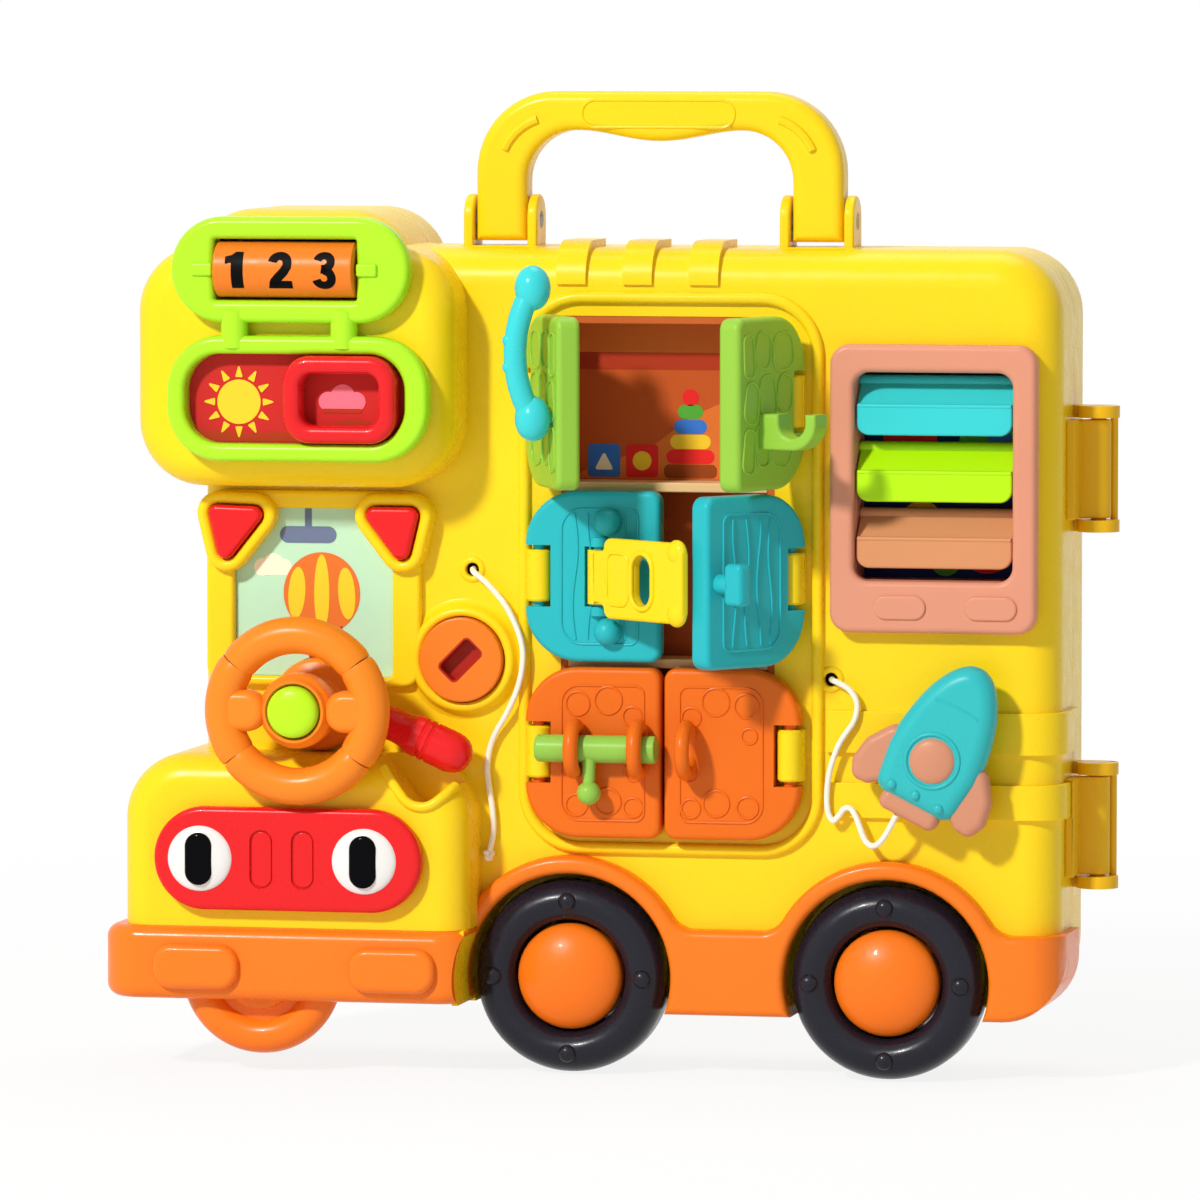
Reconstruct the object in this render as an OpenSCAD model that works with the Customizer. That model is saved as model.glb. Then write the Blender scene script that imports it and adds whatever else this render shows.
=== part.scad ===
// A toy suitcase in the shape of a bus, with doors, latches and turning things on its front.
// Millimetres. x runs along the front, y from front to back, z up from the ground.
// Each piece is drawn with y = 0 on the front panel, and placed() then centres the object in y.

/* [Case] */
// Left side of the case, behind the windscreen
case_left = -140; // [-146:1:-134]
// Width of the case
case_w = 292; // [288:1:312]
// Height of the flat top above the ground
case_top = 275.5; // [274:0.5:290]
// Height of the underside above the ground
case_low = 23; // [20:1:26]
// Depth of the front half, from the panel to the seam
front_d = 32; // [30:1:40]
// Depth of the back half, from the seam to the back
back_d = 30; // [24:1:60]
// Wall of the mouldings
wall = 2.5; // [2:0.25:3]
// Corner radius of the case in front view
corner_r = 22; // [16:1:28]
// Rounding of the front and back edges
edge_r = 12; // [8:1:14]
// Gap between the two halves at the seam
seam_gap = 0.3; // [0.2:0.1:1]
// Height of the ribs on the top
rib_h = 2.5; // [1:0.5:4]
// Width of a rib on the top
rib_w = 11.4; // [8:0.2:14]
// Thickness of the side bands
band_t = 2; // [1:0.5:3]

/* [Cab and hood] */
// How far the cab and the hood stand in front of the panel
nose_d = 26; // [24:1:30]
// Left side of the cab
cab_left = -156; // [-160:1:-152]
// Width of the cab
cab_w = 108.5; // [106:0.5:112]
// Underside of the cab
cab_low = 196; // [195:0.5:198]
// Rise of the cab's roof over the top of the case
cab_rise = 12.5; // [8:0.5:16]
// Width of the raised roof behind the sign
roof_w = 78; // [74:1:82]
// Left side of the hood
hood_left = -161; // [-164:1:-158]
// Width of the hood
hood_w = 118; // [116:0.5:120]
// Top of the hood
hood_top = 106.5; // [104:0.5:108]

/* [Bumper and skirt] */
// Left end of the bumper
bumper_left = -167.5; // [-172:0.5:-165]
// Width of the bumper
bumper_w = 127.5; // [125:0.5:129]
// Underside of the bumper
bumper_low = 24.5; // [23:0.5:26]
// Height of the bumper
bumper_h = 24.5; // [22:0.5:26]
// How far the bumper stands in front of the panel
bumper_d = 30; // [29:0.5:34]
// How far the skirt stands in front of the panel
skirt_t = 6; // [4:0.5:6]
// Height of the raised pads on the bumper
pad_t = 3; // [1:0.5:4]

/* [Wheels] */
// Radius of a tyre
tyre_r = 32.5; // [30:0.5:33]
// Width of a tyre
tyre_w = 18; // [14:1:20]
// Radius of a hub
hub_r = 18.4; // [16:0.2:20]
// Middle of the left wheel
wheel_x = -12; // [-13:0.5:-11]
// Distance between the wheels
wheel_pitch = 107.5; // [104:0.5:110]
// Radius of a wheel axle
axle_r = 3; // [2.5:0.25:4]
// Running gap between a tyre and its arch
arch_gap = 2; // [1.5:0.25:3]
// Width of the band round an arch
arch_band = 5.5; // [4:0.5:6]
// Radial clearance of pins and axles
fit = 0.05; // [0.03:0.01:0.08]

/* [Doors] */
// Width of a door
door_w = 46; // [44:0.5:47]
// Height of a door
door_h = 57; // [50:0.5:58]
// Thickness of a door
door_t = 8; // [7:0.5:9]
// Gap between door rows
row_gap = 1.8; // [1.5:0.1:2]
// Middle line between the left and right doors
doors_x = 20.6; // [19.5:0.1:22]
// Middle height of the lowest doors
doors_z = 108; // [107:0.5:109]
// Gap between a left and a right door
door_gap = 1.2; // [1:0.1:2]
// Gap between a door and the panel
door_lift = 1.5; // [1:0.1:2]
// Corner radius on the hinge side
door_hinge_r = 18; // [12:1:20]
// Corner radius on the free side
door_free_r = 4; // [2:0.5:6]
// Radius of a door's hinge pin
pin_r = 2; // [1.5:0.1:2.2]
// Height of a hinge clip
clip_h = 19.4; // [14:0.2:22]
// Wall of a hinge clip round its pin
clip_wall = 2.25; // [1.5:0.25:2.5]
// How far the left green door stands open, in degrees
green_left_open = 64; // [60:1:75]
// How far the right green door stands open, in degrees
green_right_open = 72; // [60:1:80]
// How far the right teal door stands open, in degrees
teal_right_open = 55; // [50:1:60]
// Depth of the cupboard behind the doors
cupboard_d = 20; // [12:1:24]

/* [Latches] */
// Radius of the sliding bolt
bolt_r = 4.6; // [3.5:0.1:5]
// Length of the sliding bolt
bolt_l = 41; // [38:0.5:42]
// Radius of the wire of a bolt ring
ring_wire_r = 2.5; // [2:0.1:3]
// Gap between the bolt and its rings
bolt_gap = 0.5; // [0.35:0.05:0.8]
// Length of the hasp
hasp_l = 48; // [46:0.5:50]
// Height of the hasp
hasp_h = 26.8; // [24:0.2:30]
// Thickness of the hasp
hasp_t = 3.5; // [2.5:0.25:4]
// How far the hasp stands up from its door, in degrees
hasp_open = 39; // [38:1:45]
// Distance from the hinge to the turn knob
knob_reach = 36; // [34:0.5:37]
// Length between the balls of the swing bar
bar_l = 43; // [40:0.5:46]
// Radius of the swing bar
bar_r = 3.6; // [3:0.1:4]
// Radius of the balls of the swing bar
ball_r = 6; // [5:0.25:6.5]

/* [Shutter] */
// Left side of the shutter frame
shutter_left = 76.5; // [76:0.5:79]
// Width of the shutter frame
shutter_w = 69.2; // [66:0.2:70]
// Underside of the shutter frame
shutter_low = 149.2; // [148:0.2:152]
// Height of the shutter frame
shutter_h = 95.4; // [93:0.2:98]
// Thickness of the shutter frame in front of the panel
shutter_t = 7; // [5:0.5:8]
// Depth of the shutter box behind the panel
shutter_d = 14; // [13:0.5:18]
// Distance between slats
slat_pitch = 22; // [21.5:0.1:23]
// Thickness of a slat
slat_t = 2.4; // [1.8:0.2:3]

/* [Driving controls] */
// Middle of the steering wheel, across
steer_x = -98; // [-99:0.5:-97]
// Outer radius of the steering wheel
steer_r = 31.5; // [30:0.5:31.5]
// Radius of the steering rim's section
rim_r = 4.8; // [4:0.2:5]
// Radius of the horn button
horn_r = 8.7; // [7:0.1:9]
// Travel of a push button
press = 2.5; // [1.5:0.5:3]
// Radius of the signal lever
lever_r = 7; // [6:0.1:7.4]
// Length of the signal lever between its round ends
lever_l = 23.8; // [22:0.1:25.5]
// Radius of the key disc
key_r = 14.2; // [12:0.1:15]
// Thickness of the key disc
key_t = 6; // [5.5:0.25:8]

/* [Sign] */
// Thickness of the sign frames
sign_t = 8; // [7:0.5:10]
// Radius of the number roller
roller_r = 9.3; // [8.5:0.1:9.5]
// Length of the number roller
roller_l = 47; // [44:0.5:48]
// Width of the slider
slider_w = 38.4; // [34:0.2:40]
// Gap above and below the slider
slider_gap = 0.35; // [0.3:0.05:0.6]

/* [Handle] */
// Outer width of the carry handle
handle_w = 125; // [115:1:135]
// Width of a handle leg
leg_w = 17.2; // [14:0.2:19]
// Thickness of the handle from front to back
handle_t = 14; // [10:0.5:15]
// Height of the handle's top over the case
handle_rise = 52; // [45:0.5:70]
// Thickness of the grip
grip_t = 14.8; // [12:0.2:18]
// Distance from the panel to the handle's middle
handle_y = 22; // [21:0.5:23]
// Thickness of a bracket ear
ear_t = 3.4; // [3:0.2:4.5]
// Side gap between the handle and its ears
ear_gap = 0.6; // [0.4:0.1:1]
// Radius of the handle pins
handle_pin_r = 3; // [2.5:0.1:3.5]

/* [Rocket and cords] */
// Largest width of the rocket
rocket_w = 33; // [28:0.5:36]
// Length from the widest place to the nose
rocket_nose = 38; // [32:0.5:42]
// Length from the widest place to the tail
rocket_tail = 13; // [10:0.5:15]
// Thickness of the rocket
rocket_t = 12; // [9:0.5:14]
// Radius of the cords
cord_r = 1; // [0.8:0.1:1.2]

/* [Hidden] */
$fn = 48;

case_right = case_left + case_w;
seam_front = front_d - seam_gap / 2;
seam_back = front_d + seam_gap / 2;
case_back = front_d + back_d;
cab_right = cab_left + cab_w;
cab_top = case_top + cab_rise;
brow_top = case_top + 0.8;
roof_left = cab_left + 12;
roof_right = roof_left + roof_w;
roof_front = 14;
roof_edge_r = 20;
hood_right = hood_left + hood_w;
bumper_right = bumper_left + bumper_w;
bumper_top = bumper_low + bumper_h;
skirt_low = case_low - wall;
skirt_right = case_right + wall;
skirt_edge_r = 4;
pads_x = [-148.8, -81.5];
pad_w = 29.7;
pad_r = 6;
pad_low = bumper_low + 3.8;
pad_high = bumper_top - 5.6;
bumper_corner_r = 5;
bumper_edge_r = 4;
bumper_end_r = 13;
ribs_x = [-12.1, 10.4, 32.9];
bands_z = [[87.3, 98.9], [108.9, 122.8]];
nose_corner_r = 22;
nose_edge_r = 10;

wheel_places = [wheel_x, wheel_x + wheel_pitch];
well_r = tyre_r + arch_gap;
arch_r = well_r + arch_band;
arch_t = skirt_t + 2;
well_d = 16;
tyre_front = -arch_t + 2;
tyre_back = tyre_front + tyre_w;
axle_front = -2;
tyre_bump_r = 3.2;
tyre_bump_at = (hub_r + tyre_r) / 2;
tyre_soft_r = 6;
hub_dome = 4.5;

hinge_in = door_t / 2;
axis_y = -(door_lift + hinge_in);
axis_left = doors_x - door_gap / 2 - door_w + hinge_in;
axis_right = doors_x + door_gap / 2 + door_w - hinge_in;
door_pitch = door_h + row_gap;
rows = [doors_z, doors_z + door_pitch, doors_z + 2 * door_pitch];
clip_r = pin_r + fit + clip_wall;
notch_in = clip_r + 0.5;
notch_h = clip_h + 1.2;
door_reach = door_w - hinge_in;

bead_margin = 4;
bead_w = 3.2;
bead_t = 2;
bead_left = axis_left - hinge_in - bead_margin;
bead_right = axis_right + hinge_in + bead_margin + 2.4;
bead_low = rows[0] - door_h / 2 - bead_margin - 2;
bead_high = rows[2] + door_h / 2 + bead_margin;
bead_r = 21;
cup_left = axis_left + clip_r + 2;
cup_right = axis_right - clip_r - 2;
cup_low = rows[0] - door_h / 2 + 4;
cup_high = rows[2] + door_h / 2 - 1;
shelf_t = 3;
shelves = [(rows[0] + rows[1]) / 2, (rows[1] + rows[2]) / 2];
card_t = 0.8;

ring_r = bolt_r + bolt_gap + ring_wire_r;
ring_y = hinge_in + bolt_r + bolt_gap + 0.35;
ring_places = [14.2, 35.6];
right_ring = 33.3;
bolt_tail = 1;
bolt_up = 1.8;
bolt_stem_r = 2;
bolt_stem_at = ring_places[0] + ring_wire_r + bolt_stem_r + 0.5;
bolt_stem_l = 10;
bolt_ball_r = 4;

hasp_at = 21.5;
hasp_pin_r = 2;
hasp_barrel_r = 4;
hasp_barrel_h = 18;
hasp_notch_h = hasp_barrel_h + 2;
hasp_axis_y = -hinge_in;
hasp_boss_h = 3;
hasp_ear_r = 4.2;
hasp_neck = 6;
hasp_corner_r = 3;
stud_r = 4.6;
stud_up = hasp_h / 2 + stud_r + 0.2;
slot_at = axis_right - knob_reach - (axis_left + hasp_at);
knob_size = [6.2, 7, 14];
knob_neck_r = 2.6;
knob_pin_r = 2;
slot_gap = 0.8;
hasp_lift = 1;
hasp_notch_r = hasp_lift + hasp_t + 0.6;

bar_at = 34;
bar_out = hinge_in + ball_r + 0.3;
bar_low = -5;
bar_bow = 6;
bar_arc_r = (bar_l * bar_l / 4 + bar_bow * bar_bow) / (2 * bar_bow);
bar_arc = asin(bar_l / 2 / bar_arc_r);
bar_pin_r = 2;
// The right green door or the swing bar on the left one stands out farthest in front
door_out = -axis_y + door_reach * sin(green_right_open) + hinge_in * cos(green_right_open);
bar_front = -axis_y + bar_at * sin(green_left_open) + (bar_out + bar_bow) * cos(green_left_open) + bar_r;
reach = max(door_out, bar_front);
panel_y = (reach - case_back) / 2;
hook_at = 24;
hook_in_r = bar_r + 1.3;
hook_wall = 4;
hook_len = 9;
hook_arm = 3;
// Where the bar, swung over, passes the hook, and how far it stands out there
hook_from = axis_right - hook_at - (axis_left + bar_at);
hook_out = bar_out + sqrt(pow(bar_arc_r, 2) - pow(hook_from - bar_l / 2, 2)) - (bar_arc_r - bar_bow);

shutter_right = shutter_left + shutter_w;
shutter_high = shutter_low + shutter_h;
shutter_r = 6;
win_side = 8;
win_left = shutter_left + win_side;
win_right = shutter_right - win_side;
win_foot = 17.2;
win_head = 9.2;
win_low = shutter_low + win_foot;
win_high = shutter_high - win_head;
win_r = 5;
win_wall = 2;
grips_x = [91.5, 122];
grip = [17.5, 8];
grip_low = shutter_low + (win_foot - grip[1]) / 2 - 0.1;
slat_gap = 0.5;
slat_pin_r = 1.5;
slat_pin_l = win_wall - 0.5;
slat_axis_y = 6.5;
slat_top = win_high - 3.4;
slat_drop = 9;
slat_fall = 8.5;
slat_lip = 9;
slat_lip_r = 4;

column_r = 15.5;
column_t = 8;
column_gap = 0.4;
steer_z = hood_top + column_gap + column_r;
column_neck_r = 9;
steer_y = -(nose_d + 8);
shaft_r = 4;
steer_hub_r = 12.5;
hub_front = steer_y - 6;
hub_back = steer_y + 6;
shaft_front = steer_y + 1;
horn_gap = 0.3;
horn_floor = shaft_front - 0.3 - 1.2;
horn_t = 6;
horn_back = horn_floor - press - 0.3;
spoke_h = 13;

lever_x = -71.7;
lever_z = hood_top + 11;
lever_y = -14;
lever_turn = -24;
lever_swing = 30;
lever_pin_r = 2.5;
lever_room_r = lever_r + 1;

key_x = -48.8;
key_z = 138;
key_stem_r = 4;
key_stem_l = 8;
key_seat = 0.3;
key_ring_gap = 0.4;
key_ring_w = 3.2;
key_ring_t = 4;
key_slot = [13.6, 7.5];
key_liner_wall = 0.7;
key_slot_d = key_t - 1;

glass_left = -127.3;
glass_right = -72.7;
glass_low = hood_top + 11.5;
glass_high = 188;
glass_bar = 9.5;
glass_bar_t = 4;
glass_bar_top = 6;

// Corner circles of the two triangular buttons, across and up
button_r = 3;
button_gap = 0.4;
button_mount_w = 3;
button_mount_t = 8;
button_t = 7;
button_left_at = [[-131.8, 186.2], [-119.5, 185.8], [-128.9, 174]];
button_right_at = [[-77.5, 186], [-65.8, 186], [-68.6, 174.4]];

plate_left = -148.2;
plate_right = -56.6;
plate_low = 55;
plate_high = 89.6;
plate_t = 6;
eye_r = 11;
eye_t = 1.6;
eyes_x = [-132.1, -75.8];
eye_z = (plate_low + plate_high) / 2;
pupil = [9.2, 17.5];
pupil_t = 0.8;
vents_x = [-111, -96.8];
vent = [8, 19.7];
vent_d = 1.2;

sign_left = -141.2;
sign_right = -59.8;
sign_low = cab_top - 36.8;
sign_high = cab_top - 1.7;
sign_z = (sign_low + sign_high) / 2;
backing_in = 4;
backing_r = 12;
backing_edge_r = 4;
roller_x = (sign_left + sign_right) / 2 - 1.6;
roller_gap = 0.7;
roller_y = -nose_d - 2.5;
roller_axle_r = 1.5;
roller_axle_l = roller_l + 14;
post_r = 4.6;
posts_x = [-120, -82.6];
frame_left = -142.6;
frame_right = -53.6;
frame_low = cab_low + 9;
frame_high = frame_low + 41.8;
frame_w = 6;
frame_r = 18;
track_left = frame_left + frame_w;
track_right = frame_right - frame_w - 2;
track_low = frame_low + frame_w;
track_high = frame_high - frame_w;
slider_end = 2.4;
slider_r = 9;
slider_right = track_right - slider_end;
slider_out = 3;
slider_wall = 6;

handle_over = 0.8;
handle_x = cab_right - handle_over + handle_w / 2;
handle_top = case_top + handle_rise;
handle_pivot_z = case_top + 9;
handle_foot = 7;
handle_bend_r = 26;
ear_h = 17.5;
ear_w = 15;

hinge_x = case_right + 8.5;
hinge_rod_r = 2.5;
hinge_ring_r = 4.2;
hinge_cap_r = min(-bumper_left - hinge_x, hinge_x - case_right - 1);
hinge_cap_h = 4;
hinge_h = 42;
hinges_z = [62.4, 181.4];
hinge_leaf_t = 3;
hinge_leaf_y = 16;

rocket_x = 111.5;
rocket_z = 104.5;
rocket_turn = 27;
rocket_back = -7;
rocket_front = rocket_back - rocket_t;
rocket_arc_r = (rocket_nose * rocket_nose + rocket_w * rocket_w / 4) / rocket_w;
rocket_window_r = 7.8;
rocket_window_up = 4;
fin_in = 6;
fin_out = 6.5;
fin_low = -12;
fin_high = 8;
fin_r = 5;
tail_w = 21;
tail_h = 5;
peg_r = 4;
peg_l = 8;
peg_bush = 3;

screw_side = 10;
screw_top = case_top - 13.5;
screw_places = [
    [cab_right + 13.5, screw_top], [bead_right - 2.6, screw_top], [bead_right - 2.6, 150],
    [case_right - screw_side, screw_top - 6], [case_right - screw_side, 146],
    [case_right - screw_side, 75], [hood_right + screw_side, hood_top - 6.5]];
screw_r = 1.5;
screw_head_r = 3;
boss_r = 4;
cover_t = 2;
cover_back = front_d - 2;

feet_x = [for (x = wheel_places) x - 9.6];
foot_w = 44;
foot_r = 6;
foot_edge_r = 3;
foot_front = front_d + 8;
foot_back = case_back - 4;

spare_x = -114.4;
spare_r = 27.5;
spare_wire_r = 6;
spare_y = -17;
spare_z = bumper_low + 8.8;
spare_hub_r = 12;

cord_hole_r = cord_r + 0.1;
knot_r = 2.2;
cord_left_from = [-46, 168];
cord_right_from = [76, 133];
// The cords' routes over the front, from hole to end
cord_left_route = [
    [-46, 6, 168], [-46, 1, 168], [-44.6, -2.4, 167], [-41, -3.6, 164.4], [-37.2, -4, 160.7],
    [-33.6, -4.2, 156.2], [-30.8, -4.4, 151.2], [-28.7, -4.6, 146], [-27.7, -4.6, 140.5],
    [-28.2, -4.6, 134], [-29.8, -4.4, 128], [-32, -4, 123], [-34.4, -3.4, 118.6],
    [-37, -2.8, 114.4], [-39, -2.4, 110], [-40.2, -2.2, 105], [-40.4, -2.2, 100],
    [-39.6, -2.2, 94], [-38.6, -2.2, 87], [-38.4, -2.2, 80], [-40, -2.2, 72.5]];
cord_right_route = [
    [76, 6, 133], [76, 1, 133], [77.4, -2.4, 132.8], [80, -3, 131.8], [82.8, -3.2, 130],
    [85, -3.4, 127], [85.5, -3.6, 123.5], [84.4, -3.8, 119.4], [82, -4, 115.8],
    [79.6, -4.2, 112], [77.8, -4.2, 107.6], [76.4, -4.2, 103], [75.6, -4, 98],
    [75.4, -4, 93], [76, -4, 88.6], [77.6, -4, 86.4], [79.4, -4, 88], [81.2, -4, 90.4],
    [83.4, -4.2, 90.6], [85.2, -4.6, 88.2], [86.8, -5.4, 84.6], [88.4, -6.6, 81],
    [90.8, -8.2, 78.8], [93.6, -9.8, 79.4], [96.2, -11.2, 82.2], [98.4, -12.2, 85.8],
    [100.4, -12.5, 89.6]];

yellow = "#fce639";
orange = "#fa8932";
teal = "#48d9d9";
green = "#93c34a";
lime = "#cdf542";
red = "#fa282f";
pink = "#e7a586";
navy = "#323442";
cream = "#f6efe0";

// Moves a piece from the panel's frame to the object's own frame
module placed() {
    translate([0, panel_y, 0]) children();
}

// Extrudes a front view drawing (across, up) from one depth to another
module facing(front, back) {
    translate([0, back, 0]) rotate([90, 0, 0]) linear_extrude(back - front) children();
}

// Extrudes a drawing of (up, back) from the left to the right
module across(left, right) {
    translate([right, 0, 0]) rotate([0, -90, 0]) linear_extrude(right - left) children();
}

// Round bar along y
module bar_y(x, z, r, front, back) {
    translate([x, back, z]) rotate([90, 0, 0]) cylinder(r = r, h = back - front);
}

// Round bar along x
module bar_x(left, right, y, z, r) {
    translate([left, y, z]) rotate([0, 90, 0]) cylinder(r = r, h = right - left);
}

// Round bar along z
module bar_z(x, y, low, high, r) {
    translate([x, y, low]) cylinder(r = r, h = high - low);
}

// Box between two corners
module box(a, b) {
    translate(a) cube(b - a);
}

// Rectangle with round corners, from its left, right, lower and upper sides
module rounded(left, right, low, high, r) {
    translate([left + r, low]) square([right - left - 2 * r, high - low]);
    translate([left, low + r]) square([right - left, high - low - 2 * r]);
    for (x = [left + r, right - r], z = [low + r, high - r]) translate([x, z]) circle(r);
}

// Pill with round ends along its longer side
module pill(left, right, low, high) {
    rounded(left, right, low, high, min(right - left, high - low) / 2 - 0.01);
}

// Rectangle of an extent along one axis and a depth, with its two front corners round
module bullnose(start, end, front, back, r) {
    translate([start, front + r]) square([end - start, back - front - r]);
    translate([start + r, front]) square([end - start - 2 * r, back - front]);
    for (a = [start + r, end - r]) translate([a, front + r]) circle(r);
}

// Block with round corners in front view and round front edges
module block(left, right, low, high, front, back, corner, edge) {
    intersection() {
        facing(front, back) rounded(left, right, low, high, corner);
        translate([0, 0, low]) linear_extrude(high - low) bullnose(left, right, front, back, edge);
        across(left, right) bullnose(low, high, front, back, edge);
    }
}

// Same block with its back edges round
module back_block(left, right, low, high, front, back, corner, edge) {
    translate([0, front + back, 0]) mirror([0, 1, 0])
        block(left, right, low, high, front, back, corner, edge);
}

// Triangle with round corners, from its corner circles
module soft_triangle(corners, r) {
    hull() for (c = corners) translate(c) circle(r, $fn = 32);
}

// Outer form of the case, moved in by a wall
module case_form(inset, back) {
    block(case_left + inset, case_right - inset, case_low + inset, case_top - inset, inset, back,
        corner_r - inset, edge_r - inset);
}

// Outer form of the cab with its raised roof and the backing of the sign, moved in by a wall
module cab_form(inset, back) {
    block(cab_left + inset, cab_right - inset, cab_low + inset, brow_top - inset, inset - nose_d,
        back, nose_corner_r - inset, nose_edge_r - inset);
    block(roof_left + inset, roof_right - inset, cab_low + inset, cab_top - inset,
        inset - roof_front, back, nose_corner_r - inset, roof_edge_r - inset);
    block(sign_left + backing_in + inset, roof_right - 3 - inset, sign_low + backing_in + inset,
        sign_high - backing_in - inset, inset - nose_d, wall, backing_r - inset,
        backing_edge_r - inset);
}

// Outer form of the hood, which stands on the bumper
module hood_form(inset, back) {
    intersection() {
        block(hood_left + inset, hood_right - inset, bumper_top - 2 * nose_corner_r,
            hood_top - inset, inset - nose_d, back, nose_corner_r - inset, nose_edge_r - inset);
        box([hood_left - 1, -nose_d - 1, bumper_top], [hood_right + 1, back + 1, hood_top + 1]);
    }
}

// Outer form of the bumper
module bumper_form(back) {
    intersection() {
        block(bumper_left, bumper_right, bumper_low, bumper_top, -bumper_d, back, bumper_corner_r,
            bumper_edge_r);
        translate([0, 0, bumper_low]) linear_extrude(bumper_h)
            bullnose(bumper_left, bumper_right, -bumper_d, back, bumper_end_r);
    }
}

// Space that the signal lever swings through
module lever_room_form() {
    facing(-nose_d - 5, lever_y + lever_room_r) translate([lever_x, lever_z]) hull() {
        circle(lever_room_r);
        for (swing = [0:lever_swing / 3:lever_swing])
            rotate(lever_turn - swing) translate([lever_l, 0]) circle(lever_room_r);
    }
}

// Front half of the case with its panel
module front_shell() {
    color(yellow) placed() {
        panel_half();
        bar_y(lever_x, lever_z, lever_pin_r, lever_y - lever_r, 0.5);
    }
}

// Front half without the lever's pin
module panel_half() {
    difference() {
        union() {
            difference() {
                union() {
                    case_form(0, seam_front);
                    top_ribs();
                    side_bands();
                }
                case_form(wall, seam_front + 1);
            }
            panel_relief();
            intersection() {
                case_form(0, seam_front);
                wheel_cylinders(well_r + wall, wall / 2, well_d + wall);
            }
            for (p = screw_places) bar_y(p[0], p[1], boss_r, wall / 2, cover_back - cover_t);
            bar_y(rocket_x, rocket_z, peg_r + peg_bush, wall / 2, peg_l + peg_bush + 1);
        }
        cab_form(0, seam_front + 1);
        hood_form(0, seam_front + 1);
        wheel_cylinders(well_r, -arch_t - 1, well_d);
        wheel_cylinders(axle_r, -arch_t, well_d + wall + 1);
        box([cup_left, -1, cup_low], [cup_right, wall + 1, cup_high]);
        box([win_left - win_wall, -1, win_low - win_wall],
            [win_right + win_wall, wall + 1, win_high + win_wall]);
        bar_y(key_x, key_z, key_stem_r + fit, -1, wall + 1);
        bar_y(cord_left_from[0], cord_left_from[1], cord_hole_r, -1, wall + 1);
        bar_y(cord_right_from[0], cord_right_from[1], cord_hole_r, -1, wall + 1);
        bar_y(rocket_x, rocket_z, peg_r + fit, -1, peg_l + 0.5);
        for (p = screw_places) bar_y(p[0], p[1], screw_r + 0.1, wall + 2, front_d);
        for (b = [button_left_at, button_right_at])
            facing(-button_mount_t - 1, -0.01) soft_triangle(b, button_r + button_gap);
    }
}

// Ribs that wrap over the front edge of the top
module top_ribs() {
    for (x = ribs_x) intersection() {
        block(case_left, case_right, case_low, case_top + rib_h, 0, seam_front, corner_r, edge_r);
        box([x - rib_w / 2, -1, case_top - edge_r], [x + rib_w / 2, front_d, case_top + rib_h + 1]);
    }
}

// Two bands from the doors round the right side
module side_bands() {
    for (z = bands_z) intersection() {
        block(case_left, case_right + band_t, case_low, case_top, -band_t, seam_front, corner_r,
            edge_r);
        box([bead_right + 1, -band_t - 1, z[0]], [case_right + band_t + 1, front_d, z[1]]);
    }
}

// What stands out of the panel: the bead round the doors, rings, bars and button mounts
module panel_relief() {
    facing(-bead_t, 0.5) difference() {
        rounded(bead_left, bead_right, bead_low, bead_high, bead_r);
        rounded(bead_left + bead_w, bead_right - bead_w, bead_low + bead_w, bead_high - bead_w,
            bead_r - bead_w);
    }
    facing(-key_ring_t, 0.5) translate([key_x, key_z]) difference() {
        circle(key_r + key_ring_gap + key_ring_w);
        circle(key_r + key_ring_gap);
    }
    facing(-glass_bar_t, edge_r / 2) difference() {
        rounded(glass_left - glass_bar, glass_right + glass_bar, glass_low, glass_high + glass_bar_top,
            glass_bar_top);
        translate([glass_left, glass_low - 1])
            square([glass_right - glass_left, glass_high - glass_low + 1]);
    }
    for (b = [button_left_at, button_right_at])
        facing(-button_mount_t, edge_r / 2 + 1)
            soft_triangle(b, button_r + button_gap + button_mount_w);
}

// Cylinders at both wheels
module wheel_cylinders(r, front, back) {
    for (x = wheel_places) bar_y(x, tyre_r, r, front, back);
}

// Skirt and arch bands in front of and round the foot of the case
module skirt_form() {
    difference() {
        union() {
            intersection() {
                block(bumper_right - 2 * corner_r, skirt_right, skirt_low, bumper_top + 2 * corner_r,
                    -skirt_t, seam_front, corner_r, skirt_edge_r);
                box([bumper_right - 20, -bumper_d, 0], [skirt_right + 1, front_d, bumper_top]);
            }
            for (x = wheel_places) facing(-arch_t, 0) translate([x, tyre_r]) intersection() {
                circle(arch_r);
                translate([-arch_r, bumper_top - tyre_r - 8]) square([2 * arch_r, arch_r]);
            }
        }
        case_form(0, seam_front + 1);
        wheel_cylinders(well_r, -arch_t - 1, front_d);
        bumper_form(seam_front + 1);
        hood_form(0, seam_front + 1);
    }
}

// Orange bumper and skirt
module skirt() {
    color(orange) placed() {
        skirt_form();
        difference() {
            union() {
                bumper_form(seam_front);
                for (x = pads_x) facing(-bumper_d - pad_t, -bumper_d + 1)
                    rounded(x, x + pad_w, pad_low, pad_high, pad_r);
            }
            case_form(0, seam_front + 1);
            wheel_cylinders(well_r, -bumper_d - 1, front_d);
            box([bumper_left + wall, wall - bumper_d, bumper_low + wall],
                [wheel_places[0] - well_r - wall, seam_front + 1, bumper_top - wall]);
        }
    }
}

// Cab that carries the sign
module cab_housing() {
    color(yellow) placed() difference() {
        cab_form(0, seam_front);
        cab_form(wall, seam_front + 1);
        roller_pocket();
    }
}

// Room for the number roller, which turns half behind the cab's front
module roller_pocket() {
    room = roller_r + roller_gap;
    box([roller_x - roller_l / 2 - roller_gap, -nose_d - sign_t - 1, sign_z - room],
        [roller_x + roller_l / 2 + roller_gap, roller_y + room, sign_z + room]);
}

// Hood that carries the lights
module hood_housing() {
    color(yellow) placed() difference() {
        hood_form(0, seam_front);
        difference() {
            hood_form(wall, seam_front + 1);
            lever_wall();
        }
        lever_room_form();
    }
}

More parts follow.
